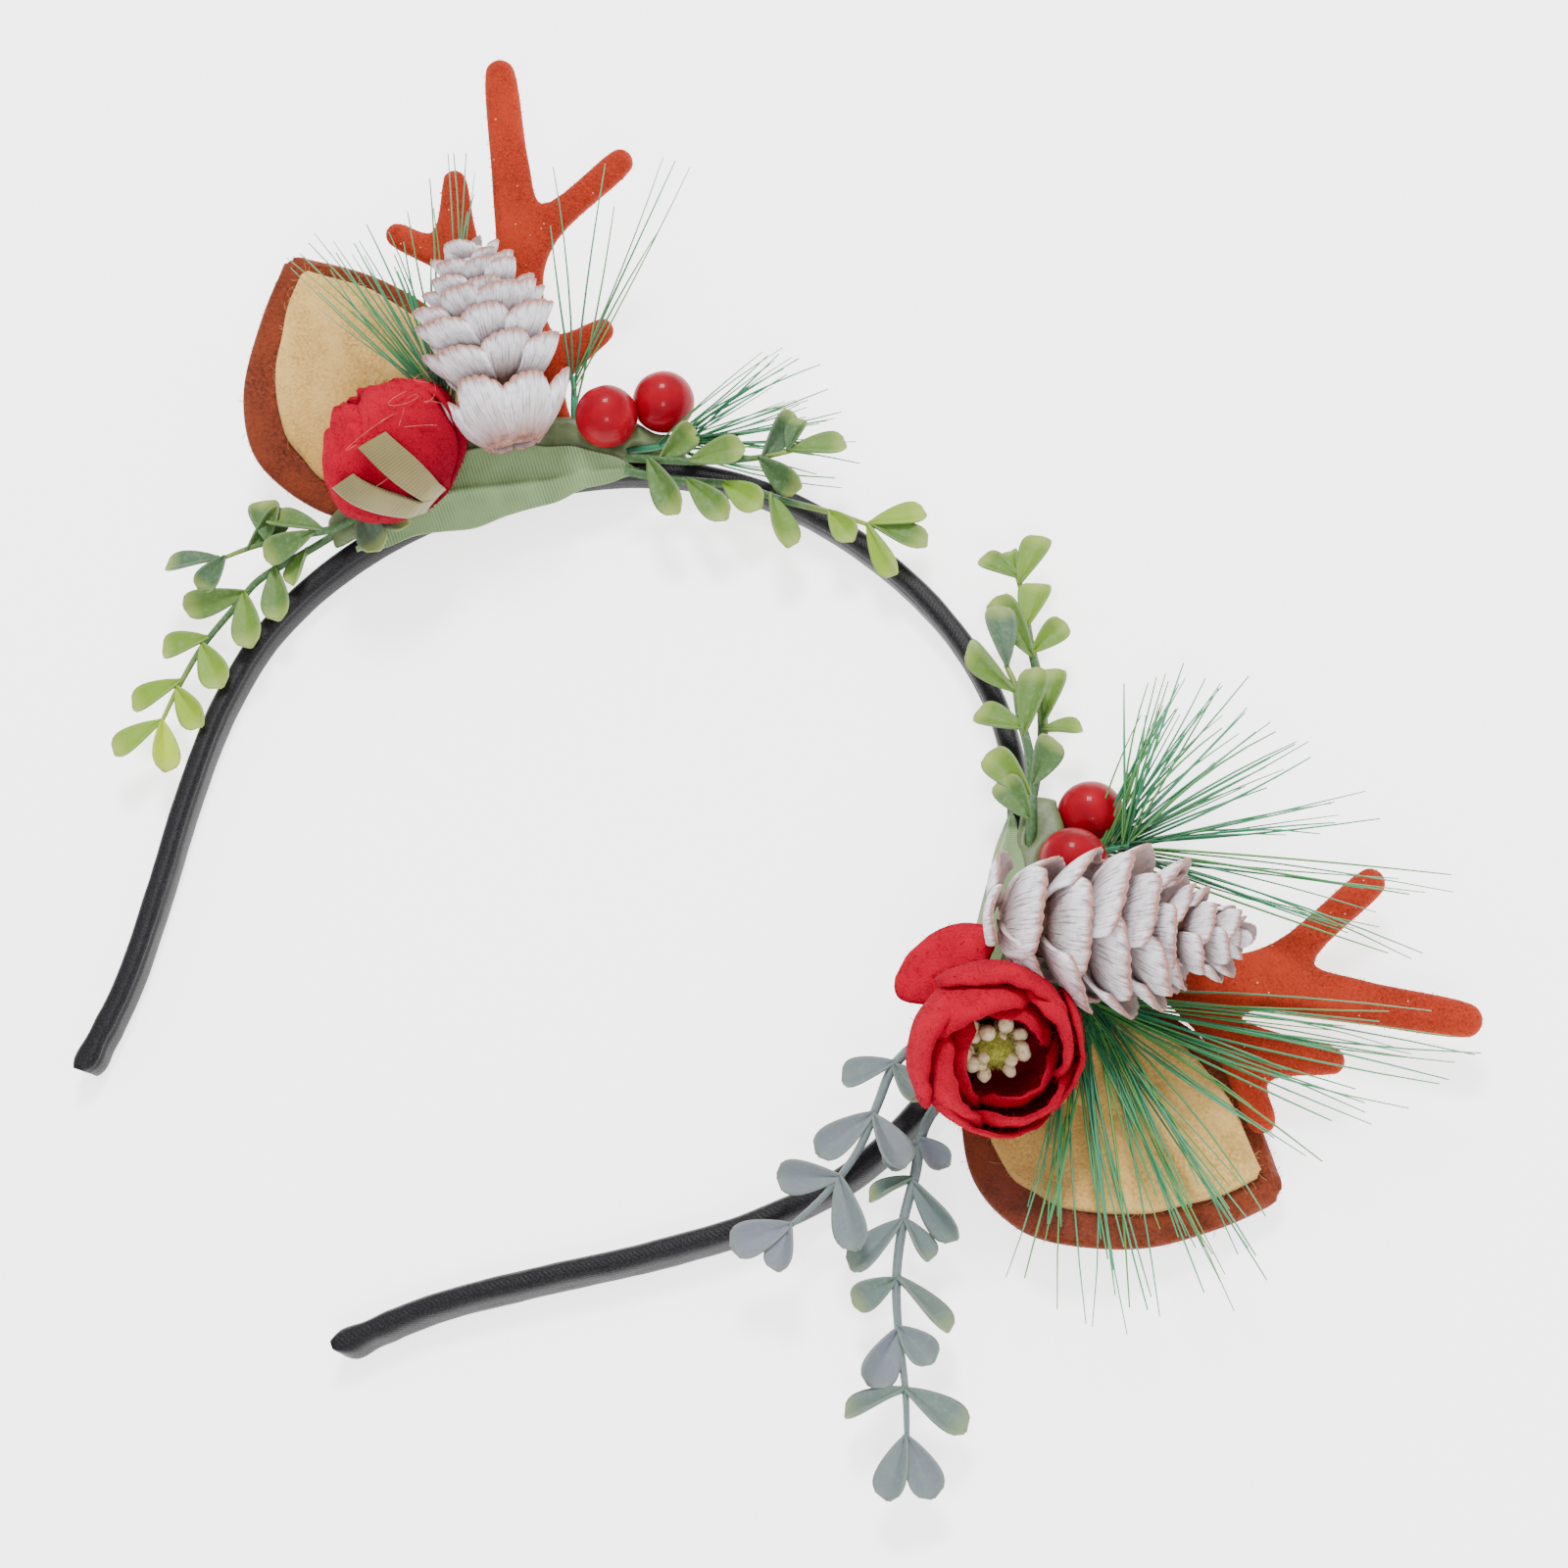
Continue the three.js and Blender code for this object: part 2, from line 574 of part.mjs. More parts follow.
// Antler: one flat outline with round tine tips and soft edges
function antlerOutline() {
  const edgePoint = ({ across, along }) => [across * ANTLER_TRUNK_WIDTH, along * ANTLER_LENGTH];
  const outline = ANTLER_EDGES[0].map(edgePoint);
  TINES.forEach((tine, i) => {
    const heading = radians(90 + tine.heading);
    const radius = TINE_RADIUS * tine.size;
    for (const turn of [-80, -40, 0, 40, 80]) {
      const angle = heading + radians(turn);
      outline.push([
        tine.across * ANTLER_LENGTH + radius * Math.cos(angle),
        tine.along * ANTLER_LENGTH - radius * 0.4 + radius * Math.sin(angle),
      ]);
    }
    outline.push(...ANTLER_EDGES[i + 1].map(edgePoint));
  });
  return outline;
}

function antler(place) {
  const outline = new THREE.Shape(antlerOutline().map(([x, y]) => new THREE.Vector2(x, y)));
  const body = new THREE.ExtrudeGeometry(outline, {
    depth: ANTLER_THICK - 2 * ANTLER_EDGE,
    bevelThickness: ANTLER_EDGE,
    bevelSize: ANTLER_EDGE,
    bevelOffset: -ANTLER_EDGE,
    bevelSegments: 1,
    steps: 1,
  });
  body.translate(0, 0, antlerLow + ANTLER_EDGE);
  body.rotateZ(radians(place.turn));
  body.translate(place.along, place.out, 0);
  return bare(body);
}

// Pine cone: a core and rings of fan-shaped scales that open toward the tip
function coneScale(tier, index, offset) {
  const reach = Math.min(SCALE_REACH, CONE_LENGTH * 0.19);
  const outer = tier.radius * CONE_RADIUS;
  const inner = outer * CONE_CORE_SHARE * 0.7;
  const middle = ((index + offset) * 2 * Math.PI) / tier.scales;
  const spread = (Math.PI / tier.scales) * 0.96;
  const start = tier.along * CONE_LENGTH + 1;
  const at = (radius, angle, y) => vector(radius * Math.cos(angle), y, radius * Math.sin(angle));
  const rows = [
    [-0.55, 0.55].map((u) => at(inner, middle + u * spread, start)),
    [-1, 1].map((u) => at(outer, middle + u * spread, start + reach)),
  ];
  return sheet(rows, SCALE_THICK);
}

function pineCone(place) {
  const core = [{ along: 0.01, radius: 0.8 }, { along: 0.3, radius: 1 }, { along: 1, radius: 0.24 }];
  const rows = core.map((row) => [row.along * CONE_LENGTH, row.radius * CONE_RADIUS * CONE_CORE_SHARE]);
  const pieces = [turned(rows, 6)];
  CONE_TIERS.forEach((tier, ring) => {
    for (let i = 0; i < tier.scales; i++) pieces.push(coneScale(tier, i, (ring % 2) / 2));
  });
  return stood(fuse(pieces), overBed(place.base), overBed(place.tip), place.roll);
}

// The room that a cone takes, for the glue that cradles it
function coneRoom(place) {
  const sides = 12;
  const clear = (GAP + SCALE_THICK) / Math.cos(Math.PI / sides);
  const core = CONE_RADIUS * CONE_CORE_SHARE;
  const rows = CONE_TIERS.map((tier) => [tier.along * CONE_LENGTH + SCALE_REACH + 1, tier.radius * CONE_RADIUS + clear]);
  rows.unshift([-GAP, core * 0.8 + clear / 2], [1, core + clear / 2]);
  return stood(turned(rows, sides), overBed(place.base), overBed(place.tip), place.roll);
}

// Flower: overlapping petals on a small heart, made along Y
function petal(ring, angle, radius, height) {
  const profile = [...PETAL_PROFILE, { up: 1, radius: ring.close, spread: 0.8 }];
  const rows = profile.map((row) => [-1, 0, 1].map((u) => {
    const turn = angle + u * radians(ring.half) * row.spread;
    const out = radius * ring.radius * row.radius * (1 + 0.05 * u) - PETAL_THICK / 2;
    const rise = height * ring.height * row.up * (row.up === 1 && Math.abs(u) === 1 ? 0.93 : 1);
    return vector(out * Math.cos(turn), rise, out * Math.sin(turn));
  }));
  return sheet(rows, PETAL_THICK);
}

function flower(place) {
  const [radius, height, rings] = place.bud ? [BUD_RADIUS, BUD_HEIGHT, BUD_PETALS] : [CUP_RADIUS, CUP_HEIGHT, CUP_PETALS];
  const heart = place.bud
    ? [[-0.5, 0.3], [height * 0.2, 0.62], [height * 0.55, 0.7], [height * 0.85, 0.5], [height * 0.93, 0.2]]
    : [[-0.5, 0.3], [height * 0.12, 0.6], [height * 0.3, 0.74]];
  const pieces = [turned(heart.map(([y, share]) => [y, share * radius]), 6)];
  for (const ring of rings) {
    for (let i = 0; i < ring.count; i++) {
      pieces.push(petal(ring, radians(ring.turn) + (i * 2 * Math.PI) / ring.count, radius, height));
    }
  }
  return stood(fuseSkin(pieces), overBed(place.base), overBed(place.top), place.roll);
}

function flowerRoom(place) {
  const [radius, height] = place.bud ? [BUD_RADIUS, BUD_HEIGHT] : [CUP_RADIUS, CUP_HEIGHT];
  const wide = radius * 1.07 + GAP;
  const rows = [[-0.5 - GAP, 0.4], [height * 0.15, 0.85], [height * 0.32, 1], [height * 0.9, 1], [height + GAP, 0.8]];
  return stood(turned(rows.map(([y, share]) => [y, share * wide]), 8), overBed(place.base), overBed(place.top));
}

// Two ribbon sepals that hug the bud, joined under its base
function sepals(place) {
  const hug = (up) => BUD_RADIUS * (0.42 + 0.72 * Math.sin(Math.min(1, up * 1.9) * (Math.PI / 2))) + 3 * GAP + 0.6;
  const strips = [-18, 38].map((turn) => {
    const rows = [-0.06, 0.1, 0.25, 0.4, SEPAL_LENGTH / BUD_HEIGHT].map((up) => [-1, 1].map((u) => {
      const out = up < 0 ? 1 : hug(up);
      const angle = radians(90 + turn) + (u * SEPAL_WIDTH) / 2 / Math.max(out, 2.5);
      return vector(out * Math.cos(angle), up * BUD_HEIGHT - 0.9, out * Math.sin(angle));
    }));
    return sheet(rows, 0.8);
  });
  const stub = turned([[-3.4, 1.6], [-0.5 - GAP, 1.9]], 8);
  return stood(fuse([stub, ...strips]), overBed(place.base), overBed(place.top), place.roll);
}

// Stamens in the bottom of the open cup
function stamens(place) {
  const floor = CUP_HEIGHT * 0.3 + GAP;
  const pieces = [turned([[floor, 3.6], [floor + 1, 3.2]], 8)];
  for (let i = 0; i < 4; i++) {
    const angle = (i * Math.PI) / 2;
    const foot = vector(2.2 * Math.cos(angle), floor + 0.5, 2.2 * Math.sin(angle));
    const head = vector(3.1 * Math.cos(angle), floor + 5, 3.1 * Math.sin(angle));
    pieces.push(rod([foot, head.clone().lerp(foot, 0.3), head], [0.6, STAMEN_RADIUS, STAMEN_RADIUS * 0.7], 5));
  }
  return stood(fuse(pieces), overBed(place.base), overBed(place.top), place.roll);
}

function ball(centre, radius, sides) {
  const sphere = new THREE.SphereGeometry(radius, sides, Math.round(sides * 0.6));
  return bare(sphere.translate(centre.x, centre.y, centre.z));
}

// Fabric leaf: a pointed oval laid over the band, its outer edge standing up in front of the cluster
function pad(frame, place, extra = 0) {
  const steps = 8;
  const width = PAD_WIDTH - (1 - place.reach) * PAD_OVERHANG;
  const rows = [];
  for (let i = 0; i <= steps; i++) {
    const share = i / steps;
    const along = THREE.MathUtils.lerp(place.from, place.to, share);
    const half = (width / 2) * Math.max(0.08, Math.sin(Math.PI * share) ** 0.75) + extra;
    const centre = bandOffset(frame, along) - BAND_THICK / 2 - place.reach * PAD_OVERHANG + width / 2;
    rows.push([-1, -0.4, 0.3, 1].map((u) => {
      const height = BAND_WIDTH + 2 * GAP + PAD_THICK + PAD_SLOPE * (u + 1) * half;
      return vector(along, centre + u * half, height);
    }));
  }
  return sheet(rows, PAD_THICK + 2 * extra);
}

// Sprig: a stem with obovate leaves, each at a share along the stem and turned away from it
function stemPath(sprig) {
  return new THREE.CatmullRomCurve3(sprig.stem.map(overBand), false, "centripetal");
}

function stem(sprig, extra = 0) {
  const path = stemPath(sprig);
  const steps = sprig.stem.length - 1;
  const points = path.getPoints(steps);
  return rod(points, points.map((_, i) => STEM_RADIUS * (1 - (0.35 * i) / steps) + extra), 4);
}

function leaf(path, { at, turn, long: length }) {
  const root = path.getPoint(at);
  const tangent = path.getTangent(at).setZ(0).normalize();
  const along = tangent.applyAxisAngle(vector(0, 0, 1), radians(turn));
  const across = vector(-along.y, along.x, 0);
  const width = LEAF_WIDTH * Math.min(1, length / 8);
  const outline = [[-0.05, 0], [0.62, 1], [1, 0.25], [1, -0.25], [0.62, -1]];
  const points = outline.map(([x, y]) => root.clone().addScaledVector(along, x * length).addScaledVector(across, (y * width) / 2));
  const middle = root.clone().addScaledVector(along, 0.6 * length);
  points.push(middle.clone().setZ(middle.z + LEAF_THICK), middle.clone().setZ(middle.z - LEAF_THICK * 0.7));
  const faces = [];
  for (let i = 0; i < outline.length; i++) {
    const next = (i + 1) % outline.length;
    faces.push([i, next, outline.length], [next, i, outline.length + 1]);
  }
  return closedMesh(points, faces);
}

function sprig(row) {
  const path = stemPath(row);
  return fuse([stem(row), ...row.leaves.map((entry) => leaf(path, entry))]);
}

// Spray of pine needles: a bundled head from which strips fan out
function sprayHead(spray, extra = 0) {
  const points = new THREE.CatmullRomCurve3(spray.head.map(overBed)).getPoints(3);
  return rod(points, points.map(() => NEEDLE_HEAD_RADIUS + extra), 5);
}

function needleStrip(root, tip) {
  return rod([root, tip], [NEEDLE_WIDTH / 2, NEEDLE_WIDTH / 3], 3);
}

function spray(row) {
  const [, bend, end] = row.head.map(overBed);
  const root = end.clone().lerp(bend, 0.15);
  return fuse([sprayHead(row), ...row.tips.map((tip) => needleStrip(root, overBed(tip)))]);
}

// Glue bed: a bar along the band's outer edge, cut to fit everything that is pressed into it
function bed(frame, row, bandSolid) {
  const tip = radians(frame.lean);
  const rings = [];
  const steps = 7;
  const middle = bedLow + BED_THICK / 2;
  const bedEdge = (along) => {
    const out = bandOffset(frame, along) - BAND_THICK / 2 - GAP;
    return (out + middle * Math.sin(tip)) / Math.cos(tip);
  };
  for (let i = 0; i <= steps; i++) {
    const along = THREE.MathUtils.lerp(row.bed.from, row.bed.to, i / steps);
    const edge = bedEdge(along);
    const half = (BED_DEPTH / 2) * (i === 0 || i === steps ? 0.7 : 1);
    const thick = (BED_THICK / 2) * (i === 0 || i === steps ? 0.7 : 1);
    const low = bedLow + thick;
    const corner = [[1, 0.6], [0.7, 1], [-0.7, 1], [-1, 0.6], [-1, -0.6], [-0.7, -1], [0.7, -1], [1, -0.6]];
    rings.push(corner.map(([u, v]) => vector(along, edge + BED_DEPTH / 2 + u * half, low + v * thick)));
  }
  const leaning = (geometry) => mapped(geometry, (p) => leaned(frame, p));
  const foot = overBed(row.cone.base).sub(vector(0, 0, CONE_RADIUS * 0.6)).setY(bedEdge(row.cone.base[0]) + BED_DEPTH * 0.9);
  const bar = leaning(fuse([loft(rings), ball(foot, CONE_SEAT_RADIUS, 10)]));
  const tools = [
    mapped(bandSolid, (p) => toCluster(frame, p)),
    pad(frame, row.pad, GAP),
    leaning(coneRoom(row.cone)),
    leaning(flowerRoom(row.flower)),
    ...row.berries.map((centre) => leaning(ball(overBed(centre), (BERRY_RADIUS + GAP) / Math.cos(Math.PI / 8), 8))),
    ...row.sprays.map((entry) => leaning(sprayHead(entry, GAP))),
    ...row.sprigs.map((entry) => stem(entry, GAP)),
  ];
  return carve(bar, tools);
}

// Assembly
const group = new THREE.Group();

function addPiece(parent, name, geometry, material) {
  const mesh = new THREE.Mesh(geometry, material);
  mesh.name = name;
  parent.add(mesh);
}

addPiece(group, "headband", band(), MATERIALS.satin);

for (const row of CLUSTERS) {
  const frame = { ...clusterFrame(row.armSide), armSide: row.armSide, lean: row.lean };
  const mirror = -row.armSide;
  const upright = new THREE.Group();
  upright.applyMatrix4(new THREE.Matrix4().makeBasis(
    frame.apexward.clone().multiplyScalar(mirror),
    frame.outward,
    vector(0, 0, 1),
  ).setPosition(frame.origin));
  group.add(upright);
  const leaningGroup = new THREE.Group();
  leaningGroup.position.set(0, BAND_THICK / 2 + GAP, PLANE_LIFT);
  leaningGroup.rotation.x = radians(row.lean);
  upright.add(leaningGroup);

  const mirrored = (geometry) => mapped(geometry, (p) => p.setX(p.x * mirror));
  const onPlane = (name, geometry, material) => addPiece(leaningGroup, `${name}_${row.name}`, mirrored(geometry), material);
  const onBand = (name, geometry, material) => addPiece(upright, `${name}_${row.name}`, mirrored(geometry), material);

  onBand("glue_bed", bed(frame, row, band(GAP)), MATERIALS.glue);
  onBand("fabric_leaf", pad(frame, row.pad), MATERIALS.leafCloth);
  onPlane("ear_outer", earSheet(row.ear, earLow, EAR_THICK, 0), MATERIALS.brownFelt);
  onPlane("ear_lining", earSheet(row.ear, liningLow, EAR_LINING_THICK, EAR_LINING_INSET), MATERIALS.sandFelt);
  onPlane("antler", antler(row.antler), MATERIALS.flock);
  onPlane("pine_cone", pineCone(row.cone), MATERIALS.cone);
  onPlane("flower", flower(row.flower), MATERIALS.petal);
  if (row.flower.bud) onPlane("sepals", sepals(row.flower), MATERIALS.ribbon);
  else onPlane("stamens", stamens(row.flower), MATERIALS.stamen);
  row.berries.forEach((centre, i) => onPlane(`berry_${i + 1}`, ball(overBed(centre), BERRY_RADIUS, 10), MATERIALS.berry));
  row.sprays.forEach((entry) => onPlane(`pine_needles_${entry.name}`, spray(entry), MATERIALS.needle));
  row.sprigs.forEach((entry) => onBand(`sprig_${entry.name}`, sprig(entry), MATERIALS.frostedLeaf));
}

// The origin is on the table under the middle of the whole piece
group.updateMatrixWorld(true);
const box = new THREE.Box3().setFromObject(group, true);
group.position.set(-(box.min.x + box.max.x) / 2, -(box.min.y + box.max.y) / 2, -box.min.z);

export default group;
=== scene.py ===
import logging
import math
from collections.abc import Callable, Sequence
from dataclasses import dataclass, field
from enum import Enum

import bmesh
import bpy
import numpy as np
from mathutils import Matrix, Quaternion, Vector


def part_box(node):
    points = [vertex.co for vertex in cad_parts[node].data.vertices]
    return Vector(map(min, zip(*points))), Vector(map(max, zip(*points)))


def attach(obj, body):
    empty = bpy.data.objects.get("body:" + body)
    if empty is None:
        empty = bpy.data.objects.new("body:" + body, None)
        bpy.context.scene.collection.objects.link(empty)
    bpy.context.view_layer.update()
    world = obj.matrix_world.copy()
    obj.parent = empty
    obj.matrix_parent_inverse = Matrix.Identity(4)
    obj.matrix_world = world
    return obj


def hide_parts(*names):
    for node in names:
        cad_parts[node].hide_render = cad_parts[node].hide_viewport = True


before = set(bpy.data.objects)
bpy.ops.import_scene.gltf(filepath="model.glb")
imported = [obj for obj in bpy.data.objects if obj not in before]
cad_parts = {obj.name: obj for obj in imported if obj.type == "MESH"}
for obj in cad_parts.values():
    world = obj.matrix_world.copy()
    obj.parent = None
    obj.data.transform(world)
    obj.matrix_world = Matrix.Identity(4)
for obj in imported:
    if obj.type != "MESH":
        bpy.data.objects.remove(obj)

"""The reindeer antler headband: its fine shapes and finishes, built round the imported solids.

Tables hold millimetres in a cluster's own frame: along the band toward its apex, out from the band, and high
off the cluster's plane. Every mesh ends in metres in the row frame.
"""

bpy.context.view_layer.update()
LOG = logging.getLogger("headband")
MM = 0.001
ROOT = "root"
UV = "UVMap"

# Sizes shared with the solids, in millimetres
HALF_SPAN = 69.6
RISE = 143.6
BAND_WIDTH = 6.0
BAND_THICK = 3.6
GAP = 0.3
CLUSTER_ARC = 73.0
PLANE_LIFT = 0.7
EAR_THICK = 1.5
ANTLER_THICK = 3.6
EAR_LOW = GAP
LINING_LOW = EAR_LOW + EAR_THICK + GAP
ANTLER_LOW = EAR_LOW + EAR_THICK + GAP
BED_LOW = ANTLER_LOW + ANTLER_THICK + GAP

Point = Sequence[float]
Attributes = dict[str, np.ndarray]


class Side(Enum):
    """The arm of the band that a cluster sits on."""

    LEFT = "left"
    RIGHT = "right"


class FlowerKind(Enum):
    """How far a flower has opened."""

    BUD = "bud"
    CUP = "cup"


class Tone(Enum):
    """The colour family of a sprig, as a place on the leaf material's ramp."""

    LIME = 0.15
    OLIVE = 0.34
    GREY_GREEN = 0.5
    FROST = 0.8


# Small helpers

def colour(hex_text: str) -> tuple[float, float, float, float]:
    """Turns an sRGB hex colour into linear light.

    Args:
        hex_text: six hex digits.

    Returns:
        Linear red, green, blue and an alpha of one.
    """
    parts = [int(hex_text[i:i + 2], 16) / 255 for i in (0, 2, 4)]
    linear = [p / 12.92 if p <= 0.04045 else ((p + 0.055) / 1.055) ** 2.4 for p in parts]
    return (*linear, 1.0)


def table_at(xs: Sequence[float], ys: Sequence[float], x: np.ndarray) -> np.ndarray:
    """Reads a short table as a smooth curve through its rows.

    Args:
        xs: rising positions.
        ys: the value at each.
        x: where to read it.

    Returns:
        The values there.
    """
    xs, ys, x = np.asarray(xs, float), np.asarray(ys, float), np.asarray(x, float)
    slope = np.gradient(ys, xs)
    i = np.clip(np.searchsorted(xs, x, side="right") - 1, 0, len(xs) - 2)
    width = xs[i + 1] - xs[i]
    t = np.clip((x - xs[i]) / width, 0, 1)
    a, b = 2 * t**3 - 3 * t**2 + 1, t**3 - 2 * t**2 + t
    c, d = -2 * t**3 + 3 * t**2, t**3 - t**2
    return a * ys[i] + b * width * slope[i] + c * ys[i + 1] + d * width * slope[i + 1]


def catmull(points: Sequence[Point], samples: int, closed: bool = False) -> np.ndarray:
    """A centripetal spline through points.

    Args:
        points: the points it passes through.
        samples: steps between one point and the next.
        closed: whether the last point joins the first.

    Returns:
        The points of the spline, one row each.
    """
    p = np.asarray(points, float)
    count = len(p) if closed else len(p) - 1
    pick = (lambda i: p[i % len(p)]) if closed else (
        lambda i: 2 * p[0] - p[1] if i < 0 else 2 * p[-1] - p[-2] if i >= len(p) else p[i])
    out = []
    for i in range(count):
        p0, p1, p2, p3 = (pick(i + k) for k in (-1, 0, 1, 2))
        d0, d1, d2 = (max(np.linalg.norm(b - a) ** 0.5, 1e-4) for a, b in ((p0, p1), (p1, p2), (p2, p3)))
        m1 = ((p1 - p0) / d0 - (p2 - p0) / (d0 + d1) + (p2 - p1) / d1) * d1
        m2 = ((p2 - p1) / d1 - (p3 - p1) / (d1 + d2) + (p3 - p2) / d2) * d1
        for t in np.linspace(0, 1, samples, endpoint=False):
            a, b = 2 * t**3 - 3 * t**2 + 1, t**3 - 2 * t**2 + t
            out.append(a * p1 + b * m1 + (1 - a) * p2 + (t**3 - t**2) * m2)
    if not closed:
        out.append(p[-1])
    return np.array(out)


def waves(x: np.ndarray, y: np.ndarray, seed: int, scale: float) -> np.ndarray:
    """Soft repeatable noise over two coordinates.

    Args:
        x: first coordinate.
        y: second coordinate.
        seed: picks the pattern.
        scale: the size of a wave, in the coordinates' own unit.

    Returns:
        Values of about minus one to one.
    """
    rng = np.random.default_rng(seed)
    total = 0
    for _ in range(7):
        angle, phase, grow = rng.uniform(0, 2 * np.pi), rng.uniform(0, 2 * np.pi), rng.uniform(0.6, 1.7)
        total = total + np.sin((x * np.cos(angle) + y * np.sin(angle)) * 2 * np.pi * grow / scale + phase)
    return total / 4


@dataclass
class Shape:
    """A mesh in the making: points in millimetres, faces, a UV for each point and named values."""

    points: np.ndarray
    faces: list[tuple[int, ...]]
    uv: np.ndarray
    values: Attributes = field(default_factory=dict)

    @staticmethod
    def joined(shapes: Sequence["Shape"]) -> "Shape":
        """Puts shapes together as one; they share the same named values."""
        faces, start = [], 0
        for shape in shapes:
            faces += [tuple(i + start for i in face) for face in shape.faces]
            start += len(shape.points)
        values = {key: np.concatenate([s.values[key] for s in shapes]) for key in shapes[0].values}
        return Shape(np.vstack([s.points for s in shapes]), faces, np.vstack([s.uv for s in shapes]), values)

    def moved(self, matrix: Matrix) -> "Shape":
        """The same shape under a matrix, turned face out again if the matrix mirrors it."""
        m = np.array(matrix)
        points = self.points @ m[:3, :3].T + m[:3, 3]
        faces = [face[::-1] for face in self.faces] if np.linalg.det(m[:3, :3]) < 0 else self.faces
        return Shape(points, faces, self.uv, self.values)

    def made(self, name: str, material: bpy.types.Material, smooth: bool = True) -> bpy.types.Object:
        """Makes the Blender object.

        Args:
            name: the piece's name.
            material: its finish.
            smooth: whether its faces are shaded smooth.

        Returns:
            The object, at the origin.
        """
        mesh = bpy.data.meshes.new(name)
        mesh.from_pydata(self.points.tolist(), [], self.faces)
        layer = mesh.uv_layers.new(name=UV)
        loops = np.zeros(len(mesh.loops), np.int32)
        mesh.loops.foreach_get("vertex_index", loops)
        layer.data.foreach_set("uv", self.uv[loops].astype(np.float32).ravel())
        for key, value in self.values.items():
            attribute = mesh.attributes.new(key, "FLOAT", "POINT")
            attribute.data.foreach_set("value", value.astype(np.float32))
        mesh.shade_smooth() if smooth else mesh.shade_flat()
        mesh.materials.append(material)
        made = bpy.data.objects.new(name, mesh)
        bpy.context.scene.collection.objects.link(made)
        return made


def thick_grid(points: np.ndarray, thickness: np.ndarray | float, values: Attributes | None = None) -> Shape:
    """A closed skin of a given thickness round a grid of points.

    Args:
        points: rows by columns of points.
        thickness: one thickness, or one for each point.
        values: named values for each point.

    Returns:
        The shape. Its value "under" is one on the lower face.
    """
    rows, columns = points.shape[:2]
    normal = np.cross(np.gradient(points, axis=1), np.gradient(points, axis=0))
    normal /= np.maximum(np.linalg.norm(normal, axis=2, keepdims=True), 1e-9)
    half = np.broadcast_to(np.asarray(thickness, float) / 2, (rows, columns))[..., None]
    both = np.concatenate([(points + normal * half).reshape(-1, 3), (points - normal * half).reshape(-1, 3)])
    count = rows * columns
    index = np.arange(count).reshape(rows, columns)
    a, b, c, d = (x.ravel() for x in (index[:-1, :-1], index[:-1, 1:], index[1:, 1:], index[1:, :-1]))
    faces = [tuple(q) for q in np.stack([a, b, c, d], 1).tolist()]
    faces += [tuple(q) for q in (np.stack([d, c, b, a], 1) + count).tolist()]
    ring = [*index[0], *index[1:, -1], *index[-1, -2::-1], *index[-2:0:-1, 0]]
    faces += [(q, p, p + count, q + count) for p, q in zip(ring, ring[1:] + ring[:1])]
    u, v = np.meshgrid(np.linspace(0, 1, columns), np.linspace(0, 1, rows))
    uv = np.stack([u.ravel(), v.ravel()], 1)
    named = {key: np.tile(np.broadcast_to(x, (rows, columns)).ravel(), 2) for key, x in (values or {}).items()}
    named["under"] = np.repeat([0.0, 1.0], count)
    return Shape(both, faces, np.vstack([uv, uv]), named)


def grid_uv(rows: int, columns: int) -> tuple[np.ndarray, np.ndarray]:
    """Even coordinates of a grid: u from -1 to 1 across it, v from 0 to 1 along it."""
    return np.meshgrid(np.linspace(-1, 1, columns), np.linspace(0, 1, rows))


def tube(path: np.ndarray, radii: np.ndarray, sides: int) -> Shape:
    """A closed round tube along a path in millimetres.

    Args:
        path: its points.
        radii: the radius at each.
        sides: points round it.

    Returns:
        The shape, with its UV in millimetres along and round it.
    """
    tangent = np.gradient(path, axis=0)
    tangent /= np.linalg.norm(tangent, axis=1, keepdims=True)
    across = np.cross(np.array([0.0, 0.0, 1.0]), tangent)
    across /= np.maximum(np.linalg.norm(across, axis=1, keepdims=True), 1e-6)
    raised = np.cross(tangent, across)
    angle = np.arange(sides) * 2 * np.pi / sides
    ring = across[:, None] * np.cos(angle)[None, :, None] + raised[:, None] * np.sin(angle)[None, :, None]
    points = (path[:, None] + ring * radii[:, None, None]).reshape(-1, 3)
    faces = []
    for i in range(len(path) - 1):
        for j in range(sides):
            a, b = i * sides + j, i * sides + (j + 1) % sides
            faces.append((a, b, b + sides, a + sides))
    faces.append(tuple(range(sides - 1, -1, -1)))
    faces.append(tuple(range((len(path) - 1) * sides, len(path) * sides)))
    arc = np.concatenate([[0], np.cumsum(np.linalg.norm(np.diff(path, axis=0), axis=1))])
    uv = np.stack([np.repeat(arc, sides), np.tile(angle, len(path))], 1)
    return Shape(points, faces, uv, {})


def stood(base: Point, top: Point, roll: float) -> Matrix:
    """A matrix that stands a shape made along Y between two points, rolled about its axis first."""
    axis = (Vector(top) - Vector(base)).normalized()
    turn = Vector((0, 1, 0)).rotation_difference(axis)
    spin = Quaternion((0, 1, 0), math.radians(roll))
    return Matrix.Translation(base) @ (turn @ spin).to_matrix().to_4x4()


# Node trees

